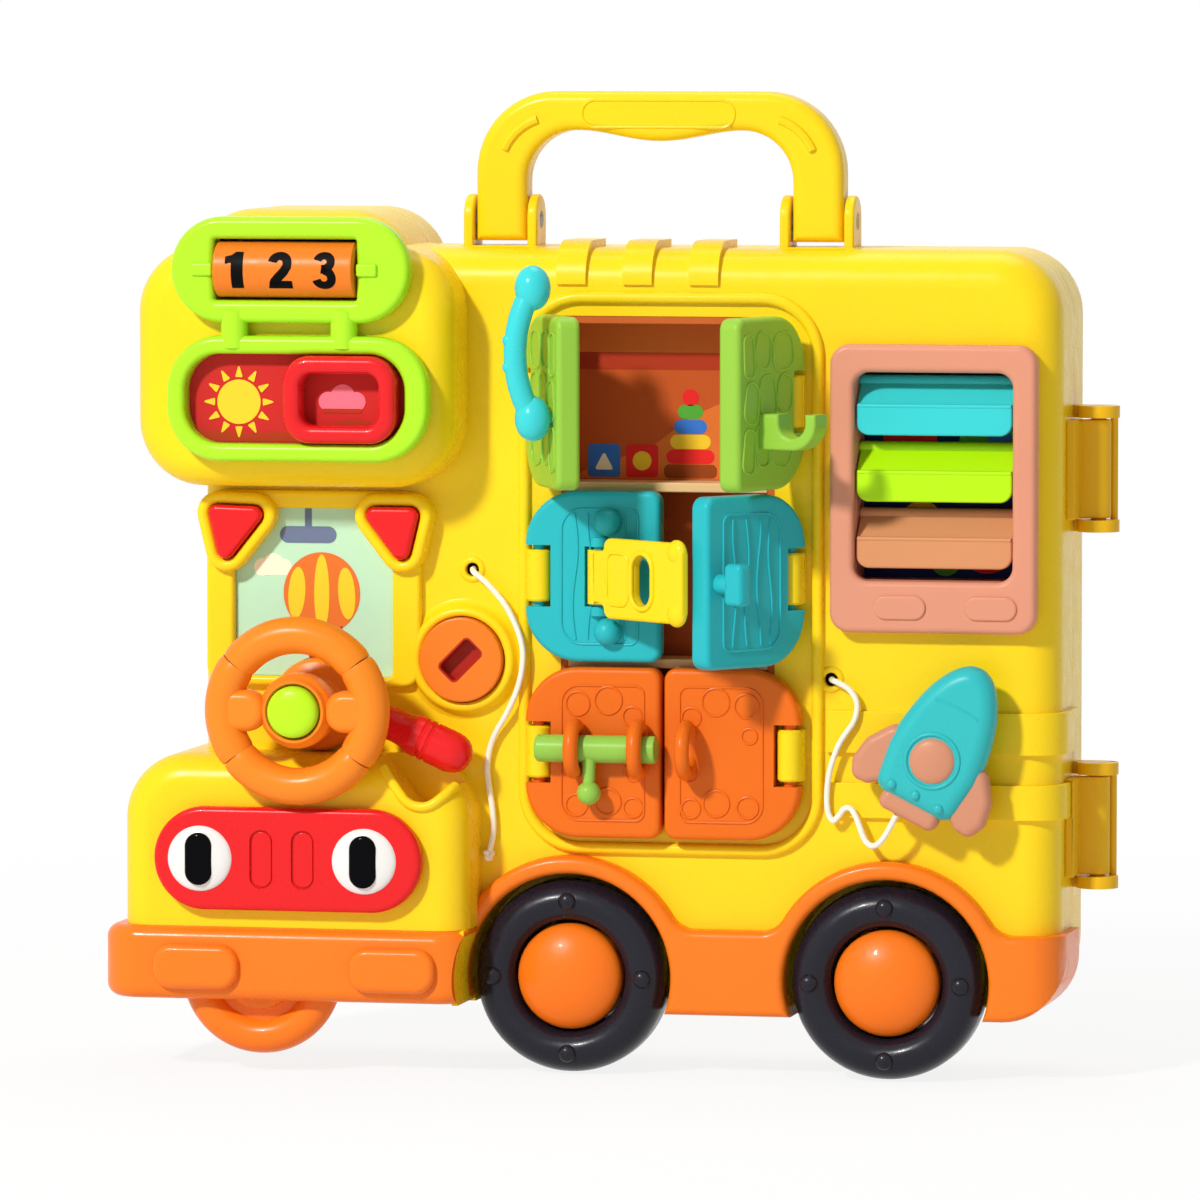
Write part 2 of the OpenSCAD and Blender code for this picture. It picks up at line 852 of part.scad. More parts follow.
// Wall kept round the lever's room inside the hood
module lever_wall() {
    box([lever_x - lever_room_r, -nose_d, lever_z - lever_l - lever_room_r - wall],
        [hood_right, lever_y + lever_room_r + wall, hood_top]);
}

// Plate that closes the front half towards the storage
module inner_cover() {
    color(yellow) placed() difference() {
        intersection() {
            case_form(wall + 0.1, front_d);
            box([case_left, cover_back - cover_t, 0], [case_right, cover_back, case_top]);
        }
        cab_form(0, front_d + 1);
        hood_form(0, front_d + 1);
        bumper_form(front_d + 1);
        for (p = screw_places) bar_y(p[0], p[1], screw_r + 0.1, 0, front_d);
    }
}

// Screws of the inner cover
module cover_screws() {
    color("silver") placed() for (p = screw_places) {
        bar_y(p[0], p[1], screw_head_r, cover_back, cover_back + 1.4);
        bar_y(p[0], p[1], screw_r, cover_back - 12, cover_back + 0.1);
    }
}

// Cupboard box with shelves behind the doors
module cupboard_tray() {
    color(yellow) placed() difference() {
        box([cup_left, 0.3, cup_low], [cup_right, cupboard_d, cup_high]);
        for (i = [0:2]) {
            low = i == 0 ? cup_low + wall : shelves[i - 1] + shelf_t / 2;
            high = i == 2 ? cup_high - wall : shelves[i] - shelf_t / 2;
            box([cup_left + wall, -1, low], [cup_right - wall, cupboard_d - wall, high]);
        }
    }
}

// Picture cards on the back of each compartment
module cupboard_cards() {
    color("#e88840") placed() for (i = [0:2]) {
        low = i == 0 ? cup_low + wall : shelves[i - 1] + shelf_t / 2;
        high = i == 2 ? cup_high - wall : shelves[i] - shelf_t / 2;
        box([cup_left + wall + 0.1, cupboard_d - wall - card_t, low + 0.1],
            [cup_right - wall - 0.1, cupboard_d - wall, high - 0.1]);
    }
}

// Clips that hold the doors' pins
module door_hinge_clips() {
    color(yellow) placed() for (z = rows, side = [0, 1])
        translate([side == 0 ? axis_left : axis_right, axis_y, z]) mirror([side, 0, 0])
            difference() {
                union() {
                    cylinder(r = clip_r, h = clip_h, center = true);
                    box([-clip_r - 0.3, 0, -clip_h / 2], [1, -axis_y, clip_h / 2]);
                }
                cylinder(r = pin_r + fit, h = clip_h + 1, center = true);
            }
}

// Draws a left door's pieces about its hinge, opened by an angle
module on_left(row, open) {
    translate([axis_left, axis_y, rows[row]]) rotate([0, 0, -open]) children();
}

// Draws a right door's pieces, the mirror image of a left door's
module on_right(row, open) {
    translate([axis_right, axis_y, rows[row]]) rotate([0, 0, open]) mirror([1, 0, 0]) children();
}

// Front view of a door: large corners at the hinge, small ones at the free edge
module door_outline() {
    big = door_hinge_r;
    small = door_free_r;
    half = door_h / 2;
    translate([big - hinge_in, -half]) square([door_w - big - small, door_h]);
    translate([-hinge_in, big - half]) square([big, door_h - 2 * big]);
    translate([door_reach - small - 0.01, small - half]) square([small + 0.01, door_h - 2 * small]);
    for (z = [big - half, half - big]) translate([big - hinge_in, z]) circle(big);
    for (z = [small - half, half - small]) translate([door_reach - small, z]) circle(small);
}

// A door with its hinge pin in the clip's notch, hinge at the origin
module door_leaf() {
    difference() {
        intersection() {
            facing(-hinge_in, hinge_in) door_outline();
            union() {
                cylinder(r = hinge_in, h = door_h + 1, center = true);
                box([0, -hinge_in, -door_h], [door_w, hinge_in, door_h]);
            }
        }
        box([-door_w, -door_t, -notch_h / 2], [notch_in, door_t, notch_h / 2]);
    }
    cylinder(r = pin_r, h = notch_h + 2, center = true);
}

// Ring on a door's front for the sliding bolt
module bolt_ring(at) {
    translate([at, -ring_y, bolt_up]) rotate([0, 90, 0]) rotate_extrude()
        translate([ring_r, 0]) circle(ring_wire_r);
}

// Upper left door
module green_door_left() {
    color(green) placed() on_left(2, green_left_open) difference() {
        door_leaf();
        bar_y(bar_at, bar_low, bar_pin_r + fit, -door_t, hinge_in - 1);
    }
}

// Bar that swings over to the hook on the other door
module swing_bar() {
    color(teal) placed() on_left(2, green_left_open) {
        bar_y(bar_at, bar_low, bar_pin_r, -bar_out, hinge_in - 1.5);
        for (up = [0, bar_l]) translate([bar_at, -bar_out, bar_low + up]) sphere(ball_r);
        translate([bar_at, bar_arc_r - bar_bow - bar_out, bar_low + bar_l / 2])
            rotate([0, 90, 0]) rotate([0, 0, -90 - bar_arc]) rotate_extrude(angle = 2 * bar_arc)
                translate([bar_arc_r, 0]) circle(bar_r);
    }
}

// Upper right door with its hook
module green_door_right() {
    color(green) placed() on_right(2, green_right_open) {
        door_leaf();
        translate([hook_at - hook_len / 2, -hook_out, bar_low - 1]) difference() {
            union() {
                bar_x(0, hook_len, 0, 0, hook_in_r + hook_wall);
                box([0, -hook_in_r - hook_wall, 0], [hook_len, 0, hook_arm]);
                box([0, 0, -hook_in_r - hook_wall], [hook_len, hook_out - hinge_in + 0.5, hook_arm]);
            }
            bar_x(-1, hook_len + 1, 0, 0, hook_in_r);
            box([-1, -hook_in_r, 0], [hook_len + 1, hook_in_r, hook_arm + 1]);
        }
    }
}

// Middle left door with the hasp's pin and two round studs
module teal_door_left() {
    color(teal) placed() on_left(1, 0) {
        difference() {
            door_leaf();
            bar_z(hasp_at, hasp_axis_y, -hasp_notch_h / 2, hasp_notch_h / 2, hasp_notch_r);
        }
        bar_z(hasp_at, hasp_axis_y, -hasp_notch_h / 2 - 1, hasp_notch_h / 2 + 1, hasp_pin_r);
        for (low = [-hasp_notch_h / 2 - hasp_boss_h, hasp_notch_h / 2])
            bar_z(hasp_at, hasp_axis_y, low, low + hasp_boss_h, hasp_pin_r + 1);
        for (z = [-stud_up, stud_up]) translate([hasp_at + 3, -hinge_in - 1.5, z]) sphere(stud_r);
    }
}

// Hasp with a slot for the turn knob
module hasp() {
    color("#fde930") placed() on_left(1, 0) translate([hasp_at, hasp_axis_y, 0])
        rotate([0, 0, -hasp_open]) difference() {
            union() {
                bar_z(0, 0, -hasp_barrel_h / 2, hasp_barrel_h / 2, hasp_barrel_r);
                facing(-hasp_lift - hasp_t, -hasp_lift) hasp_outline();
            }
            bar_z(0, 0, -hasp_h, hasp_h, hasp_pin_r + fit);
            facing(-hasp_lift - hasp_t - 1, 0) translate([slot_at, 0])
                pill(-knob_size[0] / 2 - slot_gap, knob_size[0] / 2 + slot_gap,
                    -knob_size[2] / 2 - slot_gap, knob_size[2] / 2 + slot_gap);
        }
}

// Front view of the hasp, with two round ears at its free corners
module hasp_outline() {
    translate([0, -hasp_barrel_h / 2]) square([2 * hasp_neck, hasp_barrel_h]);
    rounded(hasp_neck, hasp_l - hasp_ear_r / 2, -hasp_h / 2, hasp_h / 2, hasp_corner_r);
    for (z = [-1, 1]) translate([hasp_l - hasp_ear_r, z * (hasp_h / 2 - hasp_ear_r + 1)])
        circle(hasp_ear_r);
}

// Middle right door
module teal_door_right() {
    color(teal) placed() on_right(1, teal_right_open) difference() {
        door_leaf();
        bar_y(knob_reach, 0, knob_pin_r + fit, -door_t, hinge_in - 1);
    }
}

// Knob that turns across the hasp's slot
module turn_knob() {
    color(teal) placed() on_right(1, teal_right_open) {
        neck = hasp_lift + hasp_t + 0.8;
        bar_y(knob_reach, 0, knob_pin_r, -hinge_in - 1, hinge_in - 1.5);
        bar_y(knob_reach, 0, knob_neck_r, -hinge_in - neck - 1, -hinge_in - 0.3);
        translate([knob_reach, -hinge_in - neck - knob_size[1] / 2, 0]) cube(knob_size, center = true);
    }
}

// Lower left door with two bolt rings
module orange_door_left() {
    color(orange) placed() on_left(0, 0) {
        door_leaf();
        for (at = ring_places) bolt_ring(at);
    }
}

// Bolt with its knob, drawn back out of the right door's ring
module bolt() {
    color("#96cd64") placed() on_left(0, 0) {
        bar_x(bolt_tail, bolt_tail + bolt_l, -ring_y, bolt_up, bolt_r);
        bar_z(bolt_stem_at, -ring_y - 1, bolt_up - bolt_r - bolt_stem_l, bolt_up, bolt_stem_r);
        translate([bolt_stem_at, -ring_y - 1, bolt_up - bolt_r - bolt_stem_l]) sphere(bolt_ball_r);
    }
}

// Lower right door with one bolt ring
module orange_door_right() {
    color(orange) placed() on_right(0, 0) {
        door_leaf();
        bolt_ring(right_ring);
    }
}

// Pink frame round the slats, with a box behind the panel
module shutter_frame() {
    color(pink) placed() difference() {
        union() {
            facing(-shutter_t, 0)
                rounded(shutter_left, shutter_right, shutter_low, shutter_high, shutter_r);
            box([win_left - win_wall, -1, win_low - win_wall],
                [win_right + win_wall, shutter_d, win_high + win_wall]);
            for (x = grips_x) facing(-shutter_t - 1, -shutter_t + 1)
                pill(x, x + grip[0], grip_low, grip_low + grip[1]);
        }
        facing(-shutter_t - 2, 0.1) rounded(win_left, win_right, win_low, win_high, win_r);
        box([win_left, 0, win_low], [win_right, shutter_d + 1, win_high]);
        for (i = [0:2]) bar_x(win_left - win_wall - 1, win_right + win_wall + 1, slat_axis_y,
            slat_top - i * slat_pitch, slat_pin_r + fit);
    }
}

// Picture card behind the slats
module shutter_card() {
    color("#1f3f7a") placed() box([win_left - win_wall, shutter_d, win_low - win_wall],
        [win_right + win_wall, shutter_d + card_t, win_high + win_wall]);
}

// One slat: an axle, a sloping blade and a lip in front
module slat(i) {
    left = win_left + slat_gap;
    right = win_right - slat_gap;
    blade = norm([slat_drop, slat_fall]);
    translate([0, slat_axis_y, slat_top - i * slat_pitch]) {
        bar_x(win_left - slat_pin_l, win_right + slat_pin_l, 0, 0, slat_pin_r);
        bar_x(left, right, 0, 0, slat_pin_r + 0.6);
        translate([left, 0, 0]) rotate([atan2(slat_fall, slat_drop), 0, 0])
            translate([0, -blade, -slat_t / 2]) cube([right - left, blade, slat_t]);
        facing(-slat_drop - slat_t / 2, -slat_drop + slat_t / 2)
            rounded(left, right, -slat_fall - slat_lip, -slat_fall + slat_t / 2, slat_lip_r);
    }
}

// Upper slat
module slat_blue() {
    color("#3ed3d5") placed() slat(0);
}

// Middle slat
module slat_green() {
    color("#c3f90f") placed() slat(1);
}

// Lower slat
module slat_tan() {
    color("#e8a374") placed() slat(2);
}

// Picture card of the windscreen
module windscreen_card() {
    color("#d0f0cc") placed() difference() {
        box([glass_left + 0.1, -card_t, glass_low + 0.1], [glass_right - 0.1, 0, glass_high - 0.1]);
        bar_y(steer_x, steer_z, column_r + 0.1, -card_t - 1, 1);
        for (b = [button_left_at, button_right_at])
            facing(-card_t - 1, 1) soft_triangle(b, button_r + button_gap + button_mount_w + 0.1);
    }
}

// Lime frames of the sign and of the slider, joined by two posts
module sign_frame() {
    front = -nose_d - sign_t;
    color(lime) placed() difference() {
        union() {
            facing(front, -nose_d) pill(sign_left, sign_right, sign_low, sign_high);
            facing(front, -nose_d) rounded(frame_left, frame_right, frame_low, frame_high, frame_r);
            for (x = posts_x) bar_z(x, -nose_d - post_r, frame_high - 2, sign_low + 2, post_r);
            bar_x(roller_x - roller_axle_l / 2 - 3, roller_x + roller_axle_l / 2 + 3, roller_y, sign_z,
                roller_axle_r + 2);
        }
        facing(front - 1, 0) rounded(track_left, track_right, track_low, track_high, frame_r - frame_w);
        roller_pocket();
        bar_x(roller_x - roller_axle_l / 2, roller_x + roller_axle_l / 2, roller_y, sign_z,
            roller_axle_r + 0.02);
        cab_form(0, seam_front);
    }
}

// Picture card behind the slider
module slider_card() {
    color("#f03c32") placed() facing(-nose_d - card_t, -nose_d)
        rounded(track_left + 0.1, track_right - 0.1, track_low + 0.1, track_high - 0.1,
            frame_r - frame_w);
}

// Rod through the number roller
module roller_axle() {
    color("silver") placed() bar_x(roller_x - roller_axle_l / 2, roller_x + roller_axle_l / 2,
        roller_y, sign_z, roller_axle_r);
}

// Roller with numbers on it
module number_roller() {
    color(orange) placed() difference() {
        bar_x(roller_x - roller_l / 2, roller_x + roller_l / 2, roller_y, sign_z, roller_r);
        bar_x(roller_x - roller_l, roller_x + roller_l, roller_y, sign_z, roller_axle_r + fit);
    }
}

// Red window that slides along the card
module slider_frame() {
    left = slider_right - slider_w;
    low = track_low + slider_gap;
    high = track_high - slider_gap;
    color(red) placed() difference() {
        facing(-nose_d - sign_t - slider_out, -nose_d - card_t - 0.3)
            rounded(left, slider_right, low, high, slider_r);
        facing(-nose_d - sign_t - slider_out - 1, 0)
            rounded(left + slider_wall, slider_right - slider_wall, low + slider_wall,
                high - slider_wall, 4);
    }
}

// A triangular push button
module push_button(corners) {
    back = -press - 0.4;
    facing(back - button_t, back) soft_triangle(corners, button_r);
}

// Push button at the upper left of the windscreen
module button_left() {
    color(red) placed() push_button(button_left_at);
}

// Push button at the upper right of the windscreen
module button_right() {
    color(red) placed() push_button(button_right_at);
}

// Column that the steering wheel turns on
module steering_column() {
    color(orange) placed() {
        bar_y(steer_x, steer_z, column_r, -column_t, -0.01);
        bar_y(steer_x, steer_z, column_neck_r, hub_back + 0.3, -column_t);
        bar_y(steer_x, steer_z, shaft_r, shaft_front, hub_back + 1);
    }
}

// Steering wheel
module steering_wheel() {
    color("#f89549") placed() translate([steer_x, 0, steer_z]) difference() {
        union() {
            translate([0, steer_y, 0]) rotate([90, 0, 0]) rotate_extrude()
                translate([steer_r - rim_r, 0]) circle(rim_r);
            bar_y(0, 0, steer_hub_r, hub_front, hub_back);
            box([rim_r - steer_r, steer_y - 3, -spoke_h / 2], [steer_r - rim_r, steer_y + 3, spoke_h / 2]);
        }
        bar_y(0, 0, shaft_r + fit, shaft_front - 0.3, hub_back + 1);
        bar_y(0, 0, horn_r + horn_gap, hub_front - 1, horn_floor);
    }
}

// Horn button in the middle of the steering wheel
module horn_button() {
    color(lime) placed() bar_y(steer_x, steer_z, horn_r, horn_back - horn_t, horn_back);
}

// Signal lever with a round end
module signal_lever() {
    color(red) placed() translate([lever_x, lever_y, lever_z]) rotate([0, -lever_turn, 0]) difference() {
        union() {
            sphere(lever_r);
            bar_x(0, lever_l, 0, 0, lever_r);
            translate([lever_l, 0, 0]) sphere(lever_r);
        }
        bar_y(0, 0, lever_pin_r + fit, -lever_r - 1, lever_r + 1);
    }
}

// Disc that a key turns
module key_disc() {
    color("#f99137") placed() translate([key_x, 0, key_z]) difference() {
        union() {
            bar_y(0, 0, key_r, -key_t - key_seat, -key_seat);
            bar_y(0, 0, key_stem_r, -key_seat - 1, key_stem_l);
        }
        key_slot_form(key_liner_wall, key_slot_d + key_liner_wall);
    }
}

// Space of the key slot, grown by a wall
module key_slot_form(grow, depth) {
    front = -key_t - key_seat;
    facing(front - (grow > 0 ? 0 : 1), front + depth) rotate(45)
        square(key_slot + 2 * grow * [1, 1], center = true);
}

// Red lining of the key slot
module key_slot_liner() {
    color("#bc2007") placed() translate([key_x, 0, key_z]) difference() {
        key_slot_form(key_liner_wall, key_slot_d + key_liner_wall);
        key_slot_form(0, key_slot_d);
    }
}

// Red plate of the headlights
module headlight_plate() {
    color(red) placed() difference() {
        facing(-nose_d - plate_t, -nose_d) pill(plate_left, plate_right, plate_low, plate_high);
        for (x = vents_x) facing(-nose_d - plate_t - 1, -nose_d - plate_t + vent_d)
            pill(x - vent[0] / 2, x + vent[0] / 2, eye_z - vent[1] / 2, eye_z + vent[1] / 2);
    }
}

// White discs of the headlights
module eye_whites() {
    color("white") placed() for (x = eyes_x)
        bar_y(x, eye_z, eye_r, -nose_d - plate_t - eye_t, -nose_d - plate_t);
}

// Dark pills on the headlights
module eye_pupils() {
    front = -nose_d - plate_t - eye_t;
    color("#101014") placed() for (x = eyes_x) facing(front - pupil_t, front)
        pill(x - pupil[0] / 2, x + pupil[0] / 2, eye_z - pupil[1] / 2, eye_z + pupil[1] / 2);
}

// Half wheel that shows under the bumper
module bumper_wheel() {
    color(orange) placed() intersection() {
        union() {
            translate([spare_x, spare_y, spare_z]) rotate([90, 0, 0]) rotate_extrude()
                translate([spare_r - spare_wire_r, 0]) circle(spare_wire_r);
            bar_y(spare_x, spare_z, spare_r - spare_wire_r, spare_y - 2, spare_y + 3);
            bar_y(spare_x, spare_z, spare_hub_r, spare_y - 6, spare_y);
        }
        box([spare_x - spare_r, spare_y - 20, 0], [spare_x + spare_r, spare_y + 20, bumper_low]);
    }
}

// Stub axles of the wheels
module wheel_axles() {
    color("silver") placed() wheel_cylinders(axle_r, axle_front, well_d + wall);
}

// Tyre with round shoulders and four bumps
module tyre(x) {
    soft = tyre_soft_r;
    translate([x, 0, tyre_r]) {
        translate([0, tyre_back, 0]) rotate([90, 0, 0]) rotate_extrude() {
            translate([hub_r, 0]) square([tyre_r - hub_r - soft, tyre_w]);
            translate([hub_r, soft]) square([tyre_r - hub_r, tyre_w - 2 * soft]);
            for (h = [soft, tyre_w - soft]) translate([tyre_r - soft, h]) circle(soft);
        }
        for (a = [0:90:270]) rotate([0, a, 0]) translate([tyre_bump_at, tyre_front + 0.4, 0])
             sphere(tyre_bump_r);
    }
}

// Left tyre
module wheel_left_tyre() {
    color(navy) placed() tyre(wheel_places[0]);
}

// Right tyre
module wheel_right_tyre() {
    color(navy) placed() tyre(wheel_places[1]);
}

// Hub with a domed front and a bore for its axle
module wheel_hub(x) {
    dome = hub_dome;
    dome_r = (hub_r * hub_r + dome * dome) / (2 * dome);
    translate([x, 0, tyre_r]) difference() {
        union() {
            bar_y(0, 0, hub_r - 0.02, tyre_front, tyre_back - 1);
            intersection() {
                translate([0, tyre_front - dome + dome_r, 0]) sphere(dome_r);
                bar_y(0, 0, hub_r - 0.02, tyre_front - dome - 1, tyre_front + 1);
            }
        }
        bar_y(0, 0, axle_r + fit, axle_front - 0.5, tyre_back + 1);
    }
}

// Left hub
module wheel_left_hub() {
    color(orange) placed() wheel_hub(wheel_places[0]);
}

// Right hub
module wheel_right_hub() {
    color(orange) placed() wheel_hub(wheel_places[1]);
}

// Leaves on the front half that clip round the case hinge rods
module case_hinge_leaves() {
    color(yellow) placed() for (z = hinges_z) {
        low = z + hinge_cap_h + 0.6;
        high = z + hinge_h - hinge_cap_h - 0.6;
        difference() {
            union() {
                box([case_right, hinge_leaf_y, low], [case_right + hinge_leaf_t, seam_front, high]);
                box([case_right, front_d - hinge_ring_r, low], [hinge_x, seam_front, high]);
                bar_z(hinge_x, front_d, low, high, hinge_ring_r);
            }
            bar_z(hinge_x, front_d, 0, case_top, hinge_rod_r + fit);
            side_bands();
        }
    }
}

// Rods of the case hinges with their caps, on the back half
module back_hinge_knuckles() {
    color(yellow) placed() for (z = hinges_z) {
        bar_z(hinge_x, front_d, z, z + hinge_h, hinge_rod_r);
        for (low = [z, z + hinge_h - hinge_cap_h]) {
            bar_z(hinge_x, front_d, low, low + hinge_cap_h, hinge_cap_r);
            box([case_right, seam_back, low], [hinge_x, front_d + hinge_cap_r, low + hinge_cap_h]);
        }
    }
}

// Back half of the case, a storage tray
module back_shell() {
    color(yellow) placed() difference() {
        back_form(0, seam_back, case_back);
        back_form(wall, seam_back - 1, case_back - wall);
    }
}

// Outline of the bus in the back half, moved in by a wall
module back_form(inset, front, back) {
    back_block(case_left + inset, case_right - inset, case_low + inset, case_top - inset, front, back,
        corner_r - inset, edge_r - inset);
    back_block(cab_left + inset, roof_right - inset, cab_low + inset, brow_top - inset, front, back,
        nose_corner_r - inset, nose_edge_r - inset);
    back_block(roof_left + inset, roof_right - inset, cab_low + inset, cab_top - inset, front, back,
        nose_corner_r - inset, nose_edge_r - inset);
    back_block(hood_left + inset, hood_right - inset, bumper_low + inset, hood_top - inset, front,
        back, nose_corner_r - inset, nose_edge_r - inset);
}

// Feet under the back half
module rear_feet() {
    color(navy) placed() for (x = feet_x) difference() {
        block(x - foot_w / 2, x + foot_w / 2, 0, case_low + foot_r, foot_front, foot_back, foot_r,
            foot_edge_r);
        box([x - foot_w, 0, case_low], [x + foot_w, case_back, case_low + foot_r + 1]);
    }
}

// Ears on the top that hold the carry handle
module handle_brackets() {
    color(yellow) placed() for (leg = handle_legs(), side = [0, 1]) {
        left = side == 0 ? leg[0] - ear_gap - ear_t : leg[1] + ear_gap;
        difference() {
            union() {
                box([left, handle_y - ear_w / 2, case_top - 0.01],
                    [left + ear_t, handle_y + ear_w / 2, case_top + ear_h - ear_w / 2]);
                bar_x(left, left + ear_t, handle_y, case_top + ear_h - ear_w / 2, ear_w / 2);
            }
            bar_x(left - 1, left + ear_t + 1, handle_y, handle_pivot_z, handle_pin_r + 0.02);
            cab_form(0, seam_front);
        }
    }
}

// Left and right sides of the two handle legs
function handle_legs() = let (half = handle_w / 2)
    [[handle_x - half, handle_x - half + leg_w], [handle_x + half - leg_w, handle_x + half]];

// Carry handle that folds down
module carry_handle() {
    half = handle_w / 2;
    inner_r = handle_bend_r - leg_w / 2;
    foot_low = handle_pivot_z - handle_foot;
    color(yellow) placed() difference() {
        intersection() {
            facing(handle_y - handle_t / 2, handle_y + handle_t / 2) difference() {
                rounded(handle_x - half, handle_x + half, foot_low - 60, handle_top, handle_bend_r);
                rounded(handle_x - half + leg_w, handle_x + half - leg_w, foot_low - 90,
                    handle_top - grip_t, inner_r);
                translate([handle_x - handle_w, foot_low - 100]) square([2 * handle_w, 100]);
            }
            union() {
                bar_x(handle_x - handle_w, handle_x + handle_w, handle_y, handle_pivot_z, handle_foot);
                box([handle_x - handle_w, 0, handle_pivot_z],
                    [handle_x + handle_w, handle_y + handle_t, handle_top + 1]);
            }
        }
        for (leg = handle_legs()) bar_x(leg[0] - 1, leg[1] + 1, handle_y, handle_pivot_z,
            handle_pin_r + fit);
    }
}

// Pins through the handle's legs and ears
module handle_pins() {
    color("silver") placed() for (leg = handle_legs())
        bar_x(leg[0] - ear_gap - ear_t, leg[1] + ear_gap + ear_t, handle_y, handle_pivot_z, handle_pin_r);
}

// Draws the rocket's pieces about its widest place, leaning to the right
module rocket_frame() {
    translate([rocket_x, 0, rocket_z]) rotate([0, rocket_turn, 0]) children();
}

// Front view of the rocket: two arcs that meet at the nose, cut off at the tail
module rocket_outline(grow, tail) {
    intersection() {
        translate([rocket_arc_r - rocket_w / 2, 0]) circle(rocket_arc_r + grow);
        translate([rocket_w / 2 - rocket_arc_r, 0]) circle(rocket_arc_r + grow);
        translate([-rocket_w, -tail]) square([2 * rocket_w, tail + rocket_nose + 5]);
    }
}

// Rocket that is pulled off its peg hole
module rocket_body() {
    color(teal) placed() {
        rocket_frame() difference() {
            facing(rocket_front, rocket_back) rocket_outline(0, rocket_tail);
            bar_y(0, rocket_window_up, rocket_window_r + 0.05, rocket_front - 1, rocket_front + 2);
        }
        bar_y(rocket_x, rocket_z, peg_r, rocket_back - 1, peg_l);
    }
}

// Fins, tail and window of the rocket
module rocket_trim() {
    color("#df9d7f") placed() rocket_frame() {
        facing(rocket_front + 2, rocket_back - 1) difference() {
            for (side = [0, 1]) mirror([side, 0])
                rounded(rocket_w / 2 - fin_in, rocket_w / 2 + fin_out, fin_low, fin_high, fin_r);
            rocket_outline(0.05, rocket_tail + tail_h + 1);
        }
        facing(rocket_front + 2, rocket_back - 1)
            rounded(-tail_w / 2, tail_w / 2, -rocket_tail - tail_h, -rocket_tail - 0.05, 2.2);
        bar_y(0, rocket_window_up, rocket_window_r, rocket_front - 1.5, rocket_front + 2);
    }
}

// Points of a ring round a cord, square to its direction
function cord_ring(p, d, sides) =
    let (side = cross(d, abs(d[1]) < 0.9 ? [0, 1, 0] : [1, 0, 0]), a = side / norm(side),
        b = cross(d, a) / norm(d))
    [for (k = [0:sides - 1]) p + cord_r * (cos(360 * k / sides) * a + sin(360 * k / sides) * b)];

// Tube of a cord along its route
module cord(route) {
    sides = 8;
    last = len(route) - 1;
    points = [for (i = [0:last])
        each cord_ring(route[i], route[min(i + 1, last)] - route[max(i - 1, 0)], sides)];
    walls = [for (i = [0:last - 1], k = [0:sides - 1])
        let (a = i * sides + k, b = i * sides + (k + 1) % sides)
        each [[a, b, a + sides], [b, b + sides, a + sides]]];
    ends = [[for (k = [sides - 1:-1:0]) k], [for (k = [0:sides - 1]) last * sides + k]];
    polyhedron(points, concat(walls, ends), convexity = 6);
}

// Loose cord on the left
module cord_left() {
    color(cream) placed() cord(cord_left_route);
}

// Knot at the end of the left cord
module cord_left_knot() {
    end = cord_left_route[len(cord_left_route) - 1];
    color(cream) placed() translate(end - [0.4, 0, knot_r + 0.1]) sphere(knot_r);
}

// Cord that ties the rocket to the panel
module cord_right() {
    color(cream) placed() cord(cord_right_route);
}

front_shell();
cab_housing();
hood_housing();
skirt();
inner_cover();
cover_screws();
cupboard_tray();
cupboard_cards();
door_hinge_clips();
shutter_frame();
shutter_card();
windscreen_card();
sign_frame();
slider_card();
roller_axle();
headlight_plate();
eye_whites();
eye_pupils();
bumper_wheel();
wheel_axles();
case_hinge_leaves();
handle_brackets();
steering_column();
cord_left();
cord_left_knot();
cord_right();
number_roller();
slider_frame();
button_left();
button_right();
steering_wheel();
horn_button();
signal_lever();
key_disc();
key_slot_liner();
green_door_left();
swing_bar();
green_door_right();
teal_door_left();
hasp();
teal_door_right();
turn_knob();
orange_door_left();
bolt();
orange_door_right();
slat_blue();
slat_green();
slat_tan();
wheel_left_tyre();
wheel_left_hub();
wheel_right_tyre();
wheel_right_hub();
rocket_body();
rocket_trim();
back_shell();
rear_feet();
back_hinge_knuckles();
carry_handle();
handle_pins();
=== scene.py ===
"""Looks of a bus-shaped toy suitcase with a busy-board front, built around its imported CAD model.

Sizes are in millimetres in the panel's frame: u across, v up, and depth y behind the front panel.
Boxes are (left, right, low, high).
"""
from math import asin, atan2, cos, degrees, hypot, pi, radians, sin, sqrt, tan

import bmesh
import bpy
from mathutils import Matrix, Vector
from mathutils.geometry import convex_hull_2d


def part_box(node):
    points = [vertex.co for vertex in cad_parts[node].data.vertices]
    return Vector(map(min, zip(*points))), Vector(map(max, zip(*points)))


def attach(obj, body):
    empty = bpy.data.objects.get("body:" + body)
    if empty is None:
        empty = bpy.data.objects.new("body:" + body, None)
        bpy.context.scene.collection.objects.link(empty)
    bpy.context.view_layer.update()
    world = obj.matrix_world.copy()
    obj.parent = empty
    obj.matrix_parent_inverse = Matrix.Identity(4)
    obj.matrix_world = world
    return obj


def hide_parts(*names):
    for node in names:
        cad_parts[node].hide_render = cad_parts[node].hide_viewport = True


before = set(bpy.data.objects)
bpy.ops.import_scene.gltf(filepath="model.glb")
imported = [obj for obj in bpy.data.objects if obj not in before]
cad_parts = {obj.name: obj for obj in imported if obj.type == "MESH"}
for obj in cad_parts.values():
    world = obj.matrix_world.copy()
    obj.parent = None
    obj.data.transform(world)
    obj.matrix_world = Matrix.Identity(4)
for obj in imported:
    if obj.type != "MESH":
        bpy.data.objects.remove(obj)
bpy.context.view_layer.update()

MM = 0.001
CASE_BACK = 62.0
PANEL_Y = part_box("back_shell")[1].y / MM - CASE_BACK
scene = bpy.context.scene


def placed(name, data):
    """New object in the scene."""
    obj = bpy.data.objects.new(name, data)
    scene.collection.objects.link(obj)
    return obj


# Camera

